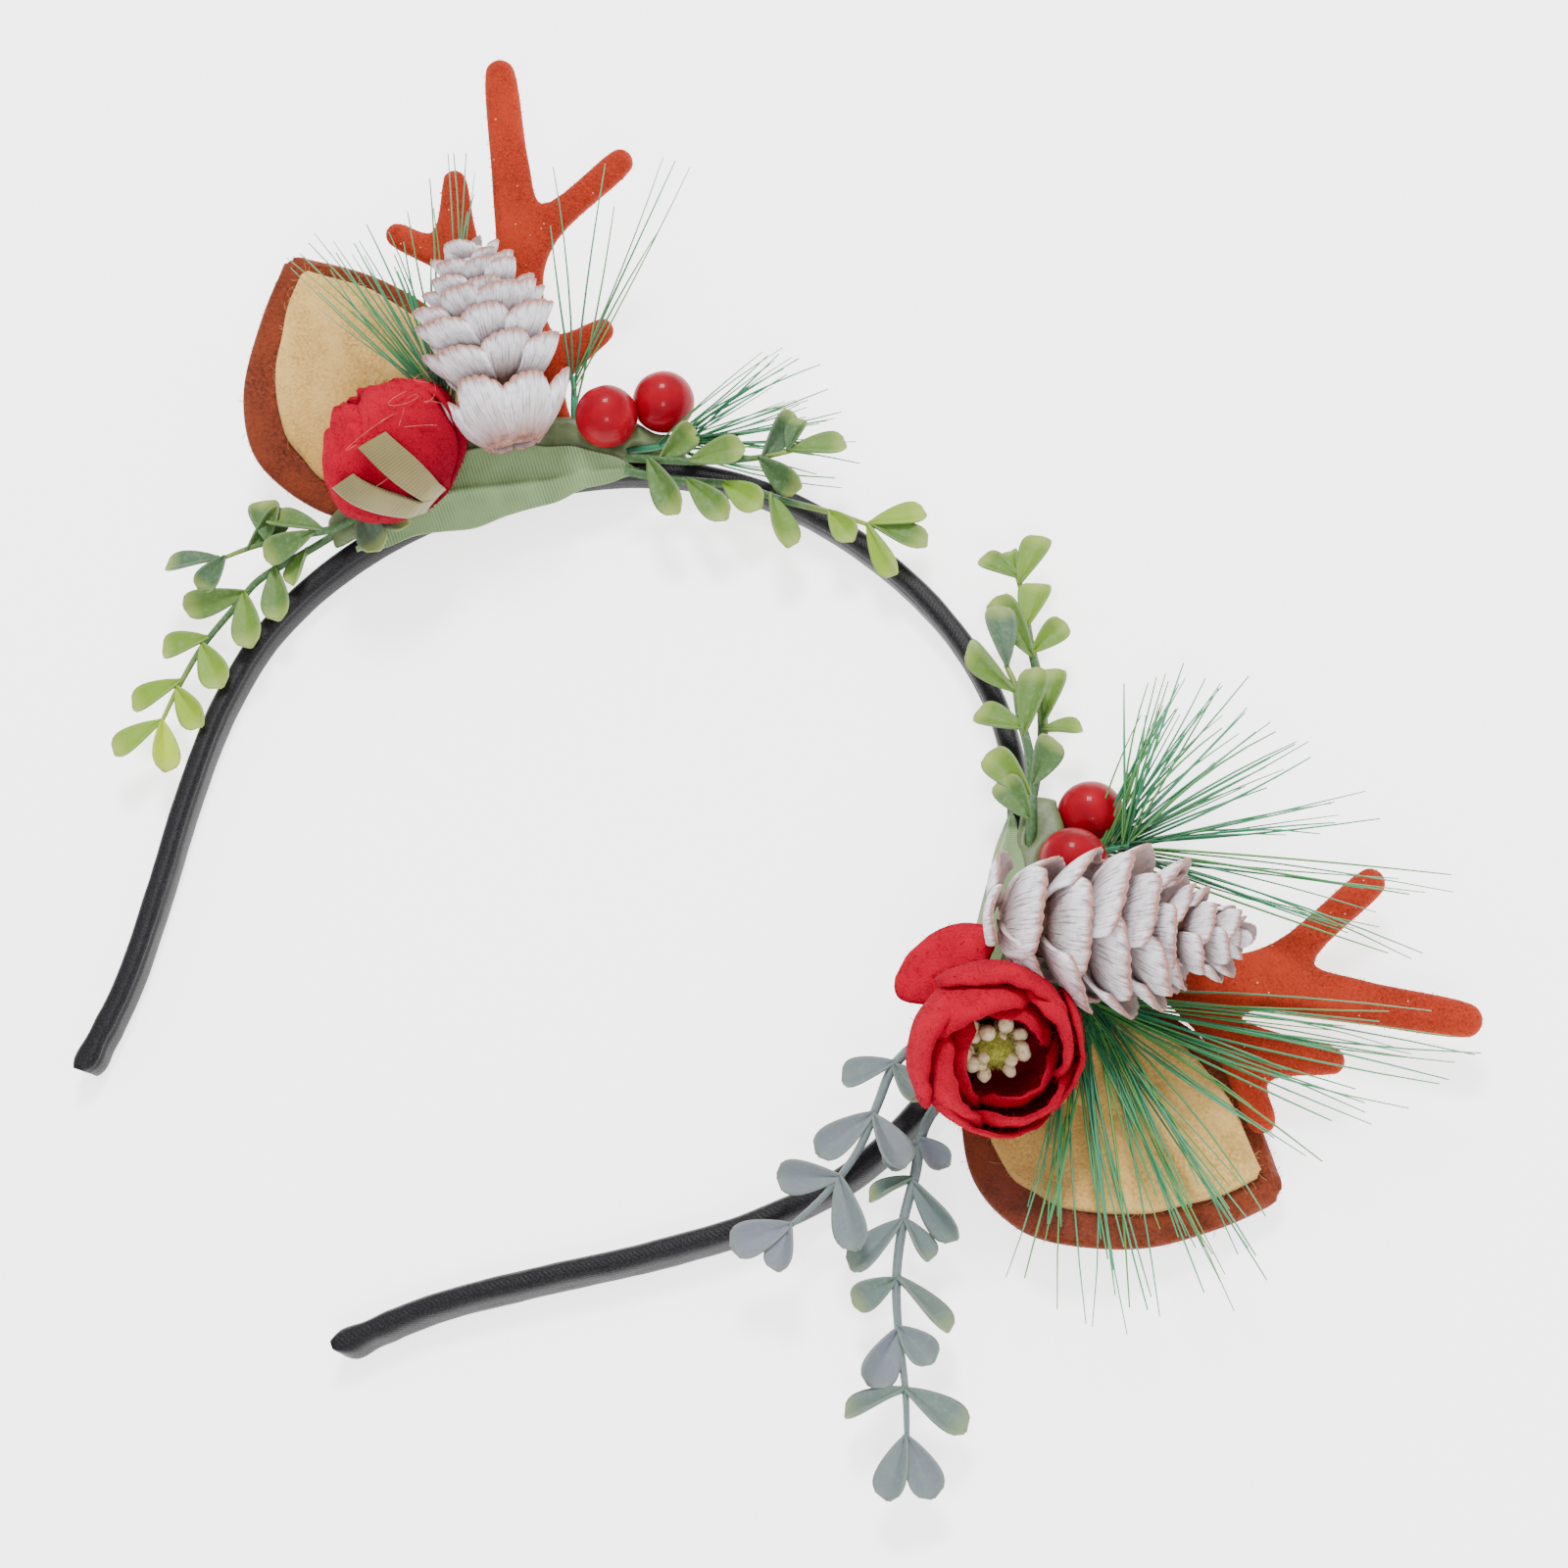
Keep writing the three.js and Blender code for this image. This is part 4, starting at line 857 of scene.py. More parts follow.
@dataclass
class Finishes:
    """Every finish of the headband, built once."""

    satin: bpy.types.Material = field(default_factory=BlackSatin("black_woven_satin").build)
    brown: bpy.types.Material = field(default_factory=Felt("brown_wool_felt").build)
    sand: bpy.types.Material = field(
        default_factory=Felt("sand_wool_felt", dark="ad8442", light="dcb46a", nap=0.12).build)
    flock: bpy.types.Material = field(default_factory=RustFlock("rust_nylon_flock").build)
    wood: bpy.types.Material = field(default_factory=WhitewashedWood("whitewashed_cone_wood").build)
    core: bpy.types.Material = field(
        default_factory=SpeckledPlastic("bare_cone_core", dark="3d2720", light="6b4a3c", gloss=0.9).build)
    petal: bpy.types.Material = field(default_factory=NappedPetal("brushed_petal_cloth").build)
    ribbon: bpy.types.Material = field(default_factory=WovenCloth("khaki_woven_ribbon").build)
    cloth: bpy.types.Material = field(default_factory=WovenCloth(
        "sage_organza_leaf", dark="2c4622", light="769060", threads=90, gloss=0.5, depth_mm=0.02).build)
    leaf: bpy.types.Material = field(default_factory=FrostedLeafPlastic("frosted_polythene_leaf").build)
    needle: bpy.types.Material = field(default_factory=NeedlePlastic("drawn_polythene_needle").build)
    berry: bpy.types.Material = field(default_factory=LacqueredBerry("lacquered_foam_berry").build)
    stamen: bpy.types.Material = field(default_factory=SpeckledPlastic(
        "flocked_stamen", dark="c2a878", light="eadcba", grain_mm=0.6, gloss=0.9).build)
    heart: bpy.types.Material = field(default_factory=SpeckledPlastic(
        "lime_stamen_heart", dark="6f7420", light="a9a844", grain_mm=0.5, gloss=0.9).build)
    thread: bpy.types.Material = field(default_factory=SpeckledPlastic(
        "pale_cotton_thread", dark="a8484a", light="cf8478", grain_mm=1.0, gloss=0.8).build)
    # the glue's dark olive is partly painted shade, standing in for the shadow under the cluster, and partly the cloth
    # leaf's green
    glue: bpy.types.Material = field(default_factory=SpeckledPlastic(
        "green_hot_glue", dark="3f4c2b", light="64724a", grain_mm=2.5, gloss=0.45).build)


# Tables of the two clusters

@dataclass(frozen=True)
class LeafRow:
    """One leaf of a sprig: its share along the stem, its turn from it in degrees and its length."""

    at: float
    turn: float
    long: float


@dataclass(frozen=True)
class SprigRow:
    """A sprig: its stem's points above the band and its leaves."""

    name: str
    tone: Tone
    end: Tone
    stem: Sequence[Point]
    leaves: Sequence[LeafRow]


@dataclass(frozen=True)
class SprayRow:
    """A spray of needles: its head's points and its needles' tips, above the glue."""

    name: str
    head: Sequence[Point]
    tips: Sequence[Point]
    strands: int = 4


@dataclass(frozen=True)
class ClusterRow:
    """Where the pieces of one cluster sit."""

    side: Side
    lean: float
    ear: tuple[float, float, float]
    antler: tuple[float, float, float]
    cone: tuple[Point, Point, float]
    flower: tuple[Point, Point, float]
    kind: FlowerKind
    berries: Sequence[Point]
    pad: tuple[float, float, float]
    sprays: Sequence[SprayRow]
    sprigs: Sequence[SprigRow]


def leaf_rows(*rows: tuple[float, float, float]) -> list[LeafRow]:
    """Leaf rows from (at, turn, long)."""
    return [LeafRow(*row) for row in rows]


LEFT = ClusterRow(
    side=Side.LEFT, lean=26, ear=(-10.5, 0.2, 11), antler=(14, 4, -8.8),
    cone=((9.8, 4.6, 12), (11.6, 38, 12.5), 10), flower=((-4.8, 0.4, 11.2), (-14.7, 18.4, 11.6), 20),
    kind=FlowerKind.BUD, berries=((24.6, 4.4, 6), (33.8, 4.6, 2)), pad=(-21, 27, 1),
    sprays=(
        SprayRow("ear", ((1, 7, 1), (0.5, 12, 1), (-1, 18, 3)), (
            (-18, 43, 6), (-16, 45, 5), (-14, 46, 6), (-12, 41, 5), (-10, 45, 6), (-7, 44, 5), (-4, 46, 6),
            (-1, 44, 5), (3, 46, 6), (8, 50, 6), (12, 53, 6), (15, 52, 7)), 3),
        SprayRow("sparse", ((18.5, 3, 1.6), (19.5, 8, 1.4), (21, 13, 2)), (
            (27.7, 46, 5), (36, 44, 5), (47, 41, 5), (49, 39, 6)), 2),
        SprayRow("apex", ((26, -1.4, 2.6), (31, -2.5, 4), (37, -3, 5)), (
            (55, 6, 9), (57, 4, 7), (60, 2, 7), (60, -2, 6), (61, -6, 5), (60, -11, 5), (57, -16, 6)), 5)),
    sprigs=(
        SprigRow("side", Tone.GREY_GREEN, Tone.GREY_GREEN, (
            (-17, 0.4, 3.4), (-23, -1.8, 3.8), (-29, -1.2, 3.8), (-37, -0.4, 3.6), (-44, -0.8, 3.4)), leaf_rows(
            (0.02, 118, 8), (0.08, 82, 8), (0.36, -27, 10), (0.42, 20, 9), (0.68, -90, 8), (0.8, -145, 9), (0.98, -12, 9), (0.94, 40, 7))),
        SprigRow("arm", Tone.GREY_GREEN, Tone.LIME, (
            (-18, 1.6, 0.8), (-23, -0.6, 1), (-28, -2.4, 1.2), (-38, -5.4, 1.2), (-42, -8.6, 1.2),
            (-49, -14.6, 1.2), (-54, -20.6, 1), (-58, -26.6, 1)), leaf_rows(
            (0.3, 43, 7), (0.38, 67, 10), (0.5, -43, 11), (0.52, 47, 11), (0.69, -44, 8), (0.71, 58, 9),
            (0.84, -42, 9), (0.86, 55, 9), (0.99, -30, 9), (0.99, 30, 9))),
        SprigRow("apex_upper", Tone.GREY_GREEN, Tone.GREY_GREEN, (
            (26, -5.5, 3.5), (30, -8, 4.6), (37, -11, 4.6), (46, -13.6, 4.6), (52, -14.4, 4.6)), leaf_rows(
            (0.28, 56, 8), (0.46, 12, 9), (0.78, 49, 9), (0.97, 60, 6), (0.22, -51, 12), (0.78, -48, 9),
            (0.98, -8, 9))),
        SprigRow("apex_lower", Tone.GREY_GREEN, Tone.OLIVE, (
            (25, -8.4, 4.6), (31, -10.8, 2.4), (36, -13, 2), (42, -16, 2), (48, -21, 2), (55, -26, 2),
            (61, -31, 2)), leaf_rows(
            (0.28, -42, 11), (0.44, -27, 8), (0.62, -45, 11), (0.83, -35, 7), (0.98, 32, 9), (0.98, -40, 10),
            (0.99, -4, 10)))))

RIGHT = ClusterRow(
    side=Side.RIGHT, lean=3, ear=(-21, -2.8, 11), antler=(2, 3, 3),
    cone=((-3, 1.2, 12), (-0.3, 35, 12.5), 0), flower=((-18, 0.6, 6.4), (-27, 9.6, 20.2), 0),
    kind=FlowerKind.CUP, berries=((21.4, 6.4, -1.3), (11.2, 6.8, 4)), pad=(-13, 19, 0.4),
    sprays=(
        SprayRow("ear", ((-6, 4, 1.4), (-7.6, 9, 1.3), (-9.5, 15, 2.2)), (
            (-50.6, 13.6, 3), (-54, 19, 3), (-55.7, 24.4, 4), (-55.5, 29, 3), (-52.6, 33, 4), (-41, 33, 3),
            (-48, 38, 3), (-50, 42.6, 4), (-45, 46, 4), (-36, 44, 3), (-27, 50, 3), (-21, 55.7, 4),
            (-17.5, 60, 3), (-10.3, 65, 4), (-8.4, 67.4, 3), (-6.6, 65, 4)), 5),
        SprayRow("apex", ((15.6, 2.6, 1.4), (15.4, 8, -0.6), (15.6, 14, 2.6)), (
            (40.6, 12, 6), (43, 14, 5), (44.5, 16.5, 6), (43, 20, 5), (42, 22.6, 6), (39, 27, 5), (36.6, 31, 6),
            (34, 35, 5), (31.8, 37.8, 6), (27.5, 46.4, 6), (24, 49, 5), (13.8, 61, 6), (9.6, 51, 5),
            (3, 57, 6)), 5)),
    sprigs=(
        SprigRow("apex_front", Tone.GREY_GREEN, Tone.GREY_GREEN, (
            (11, 1.4, 2.6), (16, 0.9, 4), (22, -0.5, 4), (28, -2.2, 3.8), (34, -5, 3.8), (39, -7, 3.8),
            (42, -9, 3.8)), leaf_rows(
            (0.2, -36, 8), (0.3, -39, 10), (0.36, 26, 8), (0.58, 24, 11), (0.6, -54, 8), (0.8, -31, 11),
            (0.99, 15, 10))),
        SprigRow("apex_back", Tone.GREY_GREEN, Tone.OLIVE, (
            (18, -0.6, 1), (25, -1, 0.6), (33, -1.6, 0.6), (42, -4.4, 0.6), (48, -7, 0.6), (56, -10, 0.6),
            (60, -12, 0.6)), leaf_rows(
            (0.34, 90, 6), (0.36, 13, 10), (0.6, -18, 12), (0.62, 60, 7), (0.72, 20, 8), (0.94, -45, 7),
            (0.9, 38, 9), (0.99, 0, 4))),
        SprigRow("arm_inner", Tone.FROST, Tone.FROST, (
            (-12.2, -0.2, 3.2), (-15, -3.4, 4.4), (-20, -7.4, 4.6), (-24, -10, 4.4), (-30, -11, 4),
            (-37, -12, 4), (-44, -15, 3.6), (-50, -19, 3.6)), leaf_rows(
            (0.42, 38, 8), (0.43, -71, 7), (0.6, 33, 10), (0.61, -50, 9), (0.8, 52, 9), (0.8, -51, 11),
            (0.99, 20, 9), (0.99, -35, 7))),
        SprigRow("arm_outer", Tone.FROST, Tone.FROST, (
            (-17, 2, 2.4), (-24, -1.8, 1), (-31, -4.4, 0.6), (-38, -4, 0.6), (-45, -4, 0.6), (-53, -3, 0.6),
            (-60, -1, 0.6), (-68, 2, 0.6), (-75, 4, 0.6)), leaf_rows(
            (0.29, 47, 6), (0.28, -58, 6), (0.39, 56, 7), (0.39, -46, 11), (0.5, 37, 10), (0.5, -42, 7),
            (0.63, 58, 7), (0.63, -45, 11), (0.75, 30, 9), (0.75, -39, 7), (0.88, 73, 9), (0.88, -51, 10),
            (0.99, 18, 9), (0.99, -22, 9)))))


# Pieces

@dataclass
class WrappedBand:
    """The band: a springy strip bent to a U and wound in satin, with a seam on its inner face."""

    half_wide: float = 2.86
    half_thick: float = 1.72
    tip_length: float = 9
    tip_flare: float = 1.2
    out: Sequence[float] = (0, 0.3, 0.56, 0.77, 0.92, 0.99, 0.99, 0.92, 0.8, 0.665, 0.54, 0.453)
    up: Sequence[float] = (1, 0.982, 0.925, 0.83, 0.715, 0.6, 0.485, 0.385, 0.285, 0.19, 0.095, 0)

    def __post_init__(self) -> None:
        """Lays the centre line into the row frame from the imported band's box."""
        half = [(x * HALF_SPAN, y * RISE) for x, y in zip(self.out, self.up)]
        line = catmull([(-x, y) for x, y in half[:0:-1]] + half, 40)
        low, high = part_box("headband")
        shift = np.array([(low.x + high.x) / 2 / MM, high.y / MM - (line[:, 1].max() + self.half_thick)])
        self.line = line + shift
        self.arc = np.concatenate([[0], np.cumsum(np.linalg.norm(np.diff(line, axis=0), axis=1))])
        self.middle = self.half_wide

    def station(self, from_apex: float | np.ndarray) -> tuple[np.ndarray, np.ndarray, np.ndarray]:
        """The centre line's point, tangent and outward normal at an arc length from the apex, to the right."""
        s = np.atleast_1d(from_apex) + self.arc[-1] / 2
        at = lambda x: np.stack([np.interp(x, self.arc, self.line[:, k]) for k in (0, 1)], 1)
        tangent = at(np.minimum(s + 0.4, self.arc[-1])) - at(np.maximum(s - 0.4, 0))
        tangent /= np.linalg.norm(tangent, axis=1, keepdims=True)
        return at(s), tangent, np.stack([-tangent[:, 1], tangent[:, 0]], 1)

    def build(self, finishes: Finishes) -> None:
        """Builds the wrapped strip with its seam pressed into the inner face."""
        steps, sides = 520, 48
        s = np.linspace(-self.arc[-1] / 2, self.arc[-1] / 2, steps)
        point, tangent, outward = self.station(s)
        from_tip = self.arc[-1] / 2 - np.abs(s)
        angle = (np.arange(sides) + 0.5) * 2 * np.pi / sides
        c, q = np.cos(angle), np.sin(angle)
        box = lambda x: np.sign(x) * np.abs(x) ** 0.62
        lap = 1 / (1 + np.exp((from_tip - self.tip_length)[:, None] * 3 - 2.4 * q[None, :]))
        flat = 1 + 0.1 * np.exp(-(((from_tip - 2.6) / 1.5) ** 2)) - 0.1 * np.exp(-(((from_tip - 6) / 1.8) ** 2))
        flat = flat - 0.45 * np.clip(1 - from_tip / 1.8, 0, 1) ** 2
        slant = np.sign(s)[:, None] * np.clip(1 - from_tip / 5, 0, 1)[:, None] * 1.3 * (q[None, :] - 1) / 2
        seam = angle - np.pi + 0.32 + 0.05 * waves(s[:, None], 0 * angle[None, :], 9, 30)
        inner = np.exp(-((seam / 0.3) ** 2))
        groove = np.exp(-((seam / 0.11) ** 2))
        fold = 0.05 * waves(s[:, None], angle[None, :] * 2, 5, 7) * (1 - np.abs(q[None, :]) ** 4)
        out = box(c)[None, :] * self.half_thick * flat[:, None] - 0.2 * inner + 0.32 * groove
        out = out + np.sign(c)[None, :] * (fold + 0.16 * lap)
        high = box(q)[None, :] * self.half_wide * np.ones((steps, 1))
        points = np.zeros((steps, sides, 3))
        points[..., :2] = point[:, None] + outward[:, None] * out[..., None] + tangent[:, None] * slant[..., None]
        points[..., 2] = self.middle + np.clip(high, -self.middle, self.middle)
        shape = tube(np.column_stack([point, np.full(steps, self.middle)]), np.ones(steps), sides)
        shape.points = points.reshape(-1, 3)
        shape.uv = np.stack([np.repeat(s, sides), np.tile(angle * 2.3, steps)], 1)
        shape.faces = [face[::-1] for face in shape.faces]
        shape.values = {"seam": groove.ravel()}
        made = self.facing_out(shape.moved(Matrix.Scale(MM, 4)).made("satin_band", finishes.satin))
        settle(made, ["headband"])

    @staticmethod
    def facing_out(made: bpy.types.Object) -> bpy.types.Object:
        """Turns a closed mesh's faces outwards."""
        body = bmesh.new()
        body.from_mesh(made.data)
        bmesh.ops.remove_doubles(body, verts=body.verts, dist=1e-7)
        bmesh.ops.recalc_face_normals(body, faces=body.faces)
        body.to_mesh(made.data)
        body.free()
        return made


@dataclass
class Place:
    """A cluster's frame on the band, as matrices from its millimetres to the row frame's metres."""

    band: WrappedBand
    row: ClusterRow

    def __post_init__(self) -> None:
        """Works out the upright frame and the leaning one."""
        arm = -1 if self.row.side is Side.LEFT else 1
        point, tangent, outward = (x[0] for x in self.band.station(arm * CLUSTER_ARC))
        self.arm = arm
        self.apexward = Vector((*tangent, 0)) * -arm
        self.outward = Vector((*outward, 0))
        self.origin = Vector((*point, self.band.middle - BAND_WIDTH / 2))
        tip = math.radians(self.row.lean)
        up = Vector((0, 0, 1))
        foot = self.origin + self.outward * (BAND_THICK / 2 + GAP) + up * PLANE_LIFT
        self.upright = self.matrix(self.origin, self.outward, up)
        self.plane = self.matrix(foot, self.outward * math.cos(tip) + up * math.sin(tip),
                                 up * math.cos(tip) - self.outward * math.sin(tip))

    def matrix(self, origin: Vector, out: Vector, high: Vector) -> Matrix:
        """The matrix of a frame with the cluster's own direction along the band."""
        turn = Matrix((self.apexward, out, high)).transposed().to_4x4()
        return Matrix.Scale(MM, 4) @ Matrix.Translation(origin) @ turn

    def name(self, piece: str) -> str:
        """The name of a piece on this side."""
        return f"{piece}_{self.row.side.value}"

    def band_out(self, along: np.ndarray) -> np.ndarray:
        """How far out the band's centre line lies at a distance along the cluster."""
        s = self.arm * CLUSTER_ARC + np.arange(-60, 60, 0.5)
        offset = np.pad(self.band.station(s)[0], ((0, 0), (0, 1))) - np.array([*self.origin[:2], 0])
        x, y = offset @ np.array(self.apexward), offset @ np.array(self.outward)
        order = np.argsort(x)
        return np.interp(along, x[order], y[order])

    def plane_made(self, name: str, shape: Shape, material: bpy.types.Material) -> bpy.types.Object:
        """Makes a piece whose points stand in the leaning frame."""
        return shape.moved(self.plane).made(self.name(name), material)

    def turned_spot(self, frame_matrix: Matrix, point: Vector, along: Vector, normal: Vector) -> Matrix:
        """The place and turn in the row frame of a small copy that runs along one way and faces another."""
        base = frame_matrix.to_3x3() * (1 / MM)
        y, z = (base @ along).normalized(), (base @ normal).normalized()
        x = y.cross(z).normalized()
        turn = Matrix((x, y, x.cross(y))).transposed().to_4x4()
        return Matrix.Translation(frame_matrix @ point) @ turn


@dataclass
class FeltEar:
    """An ear: a brown felt leaf with its rim curled up, and a smaller sand felt lining laid in it."""

    place: Place
    length: float = 47.5
    width: float = 38
    cup: float = 5
    inset: float = 4.4
    along: Sequence[float] = (0, 0.1, 0.22, 0.36, 0.5, 0.65, 0.8, 0.92, 1)
    half: Sequence[float] = (0.22, 0.6, 0.86, 1, 0.99, 0.86, 0.6, 0.3, 0.04)

    def surface(self, low: float, thickness: float, inset: float, rim: float, crease: float, seed: int) -> Shape:
        """One felt layer.

        Args:
            low: its lowest height above the cluster's plane.
            thickness: its thickness.
            inset: how far it stands in from the outer ear's outline.
            rim: how far its rim curls up.
            crease: how deep its creases are.
            seed: picks its creases.

        Returns:
            The layer in the leaning frame.
        """
        u, v = grid_uv(90, 49)
        along = inset * 0.6 + v * (self.length - 1.35 * inset)
        half = np.maximum(0.3, (self.width / 2 - inset) * table_at(self.along, self.half, v))
        across = u * half + 0.3 * inset + 0.25 * waves(u * 0, v * 40, seed, 9) * np.abs(u) ** 6
        side = np.maximum(0, -across / (self.width / 2))
        high = self.cup * side**2 * np.sin(np.pi * np.clip(along / self.length, 0, 1))
        high = high + rim * np.abs(u) ** 5 * np.sin(np.pi * np.clip(v, 0.03, 0.97)) ** 0.5
        fan = np.arctan2(across, along + 6)
        pleats = np.sin(fan * 17 + 0.8 * np.sin(along / 7)) * np.exp(-((along - 5) / 13) ** 2)
        valley = (across + 1.5 - 0.16 * along) / 1.1
        dip = (np.tanh(valley) - 0.9 * np.exp(-valley**2)) * np.exp(-((along - 8) / 17) ** 4)
        high = high + crease * (0.6 * pleats + 1.5 * dip) + 0.18 * waves(across, along, seed + 2, 14)
        spin = math.radians(self.place.row.ear[2])
        x = self.place.row.ear[0] + across * math.cos(spin) - along * math.sin(spin)
        y = self.place.row.ear[1] + across * math.sin(spin) + along * math.cos(spin)
        points = np.stack([x, y, low + thickness / 2 + np.maximum(high, -0.25)], 2)
        edge = np.maximum(np.abs(u), np.abs(2 * v - 1))
        # painted shade in the pleats and the creased valley, handed to the felt as its "fold" value
        shade = np.clip(-0.55 * pleats - 0.8 * dip, 0, 1) * min(1, crease * 2)
        return thick_grid(points, thickness * (1 - 0.55 * np.clip((edge - 0.94) / 0.06, 0, 1) ** 2), {"fold": shade})

    def build(self, finishes: Finishes) -> None:
        side = self.place.row.side.value
        layers = (
            ("felt_ear", self.surface(EAR_LOW, EAR_THICK, 0, 0.9, 0.25, 3), finishes.brown, "brown_felt",
             "ear_outer", (self.width, self.length), Fibres("brown_hairs", 0.8, 0.9, 0.05, 1.2, seed=4)),
            ("felt_lining", self.surface(LINING_LOW, 1.2, self.inset, 0.15, 0.7, 8), finishes.sand, "sand_felt",
             "ear_lining", (self.width - 2 * self.inset, self.length - 1.35 * self.inset),
             Fibres("sand_hairs", 0.6, 1.7, 0.03, 1.4, seed=6)))
        for name, shape, finish, slot, node, flat, hairs in layers:
            made = self.place.plane_made(name, shape, finish)
            settle(made, [f"{node}_{side}"])
            grown = hairs.grown(made, finish)
            grown.name = self.place.name(hairs.name)
            settle(grown)


@dataclass
class FlockedAntler:
    """An antler: one flat moulded form with round edges under short flock."""

    place: Place
    length: float = 65
    trunk: float = 7.2
    tine: float = 1.95
    edge: float = 1.65
    tines: Sequence[tuple[float, float, float, float]] = (
        (0.163, 0.28, -52, 1), (0.266, 0.697, -50, 1.1), (-0.006, 0.966, 2, 1.25), (-0.158, 0.709, 8, 1),
        (-0.32, 0.598, 52, 1))
    edges: Sequence[Sequence[tuple[float, float]]] = (
        ((0.5, 0), (0.48, 0.14)), ((0.4, 0.28), (0.3, 0.42), (0.75, 0.515)), ((0.5, 0.61), (0.33, 0.72)),
        ((-0.58, 0.66), (-0.75, 0.5), (-0.95, 0.49), (-1.1, 0.58)), ((-2.1, 0.58),),
        ((-1.85, 0.46), (-1.1, 0.35), (-0.58, 0.24), (-0.5, 0)))

    def outline(self) -> np.ndarray:
        """The smooth outline in the cluster's plane; tines are (across, along, heading, size)."""
        edge = lambda rows: [(x * self.trunk, y * self.length) for x, y in rows]
        points = edge(self.edges[0])
        for (across, along, heading, size), after in zip(self.tines, self.edges[1:]):
            radius = self.tine * size
            for turn in (-80, -40, 0, 40, 80):
                angle = math.radians(90 + heading + turn)
                points.append((across * self.length + radius * math.cos(angle),
                               along * self.length - radius * 0.4 + radius * math.sin(angle)))
            points += edge(after)
        return catmull(points, 6, closed=True)

    def build(self, finishes: Finishes) -> None:
        """Builds the form as a filled outline with a round bevel, then its flock."""
        x, y, turn = self.place.row.antler
        curve = bpy.data.curves.new("antler", "CURVE")
        curve.dimensions, curve.fill_mode = "2D", "BOTH"
        curve.extrude = (ANTLER_THICK / 2 - self.edge) * MM
        curve.bevel_depth, curve.bevel_resolution, curve.offset = self.edge * MM, 5, -self.edge * MM
        spline = curve.splines.new("POLY")
        outline = self.outline()
        spline.points.add(len(outline) - 1)
        for spot, (px, py) in zip(spline.points, outline):
            spot.co = (px * MM, py * MM, 0, 1)
        spline.use_cyclic_u = True
        made = bpy.data.objects.new(self.place.name("flocked_antler"), curve)
        bpy.context.scene.collection.objects.link(made)
        made = bake(made)
        lift = Matrix.Translation((x, y, ANTLER_LOW + ANTLER_THICK / 2))
        spin = Matrix.Rotation(math.radians(turn), 4, "Z")
        made.data.transform(self.place.plane @ lift @ spin @ Matrix.Scale(1 / MM, 4))
        made.data.materials.clear()
        made.data.materials.append(finishes.flock)
        made.data.shade_smooth()
        WrappedBand.facing_out(made)
        side = self.place.row.side.value
        settle(made, [f"antler_{side}"])
        nap = Fibres("flock_nap", 0.9, 0.42, 0.055, 0.8, bend=0.15, seed=11).grown(made, finishes.flock)
        nap.name = self.place.name("flock_nap")
        settle(nap)


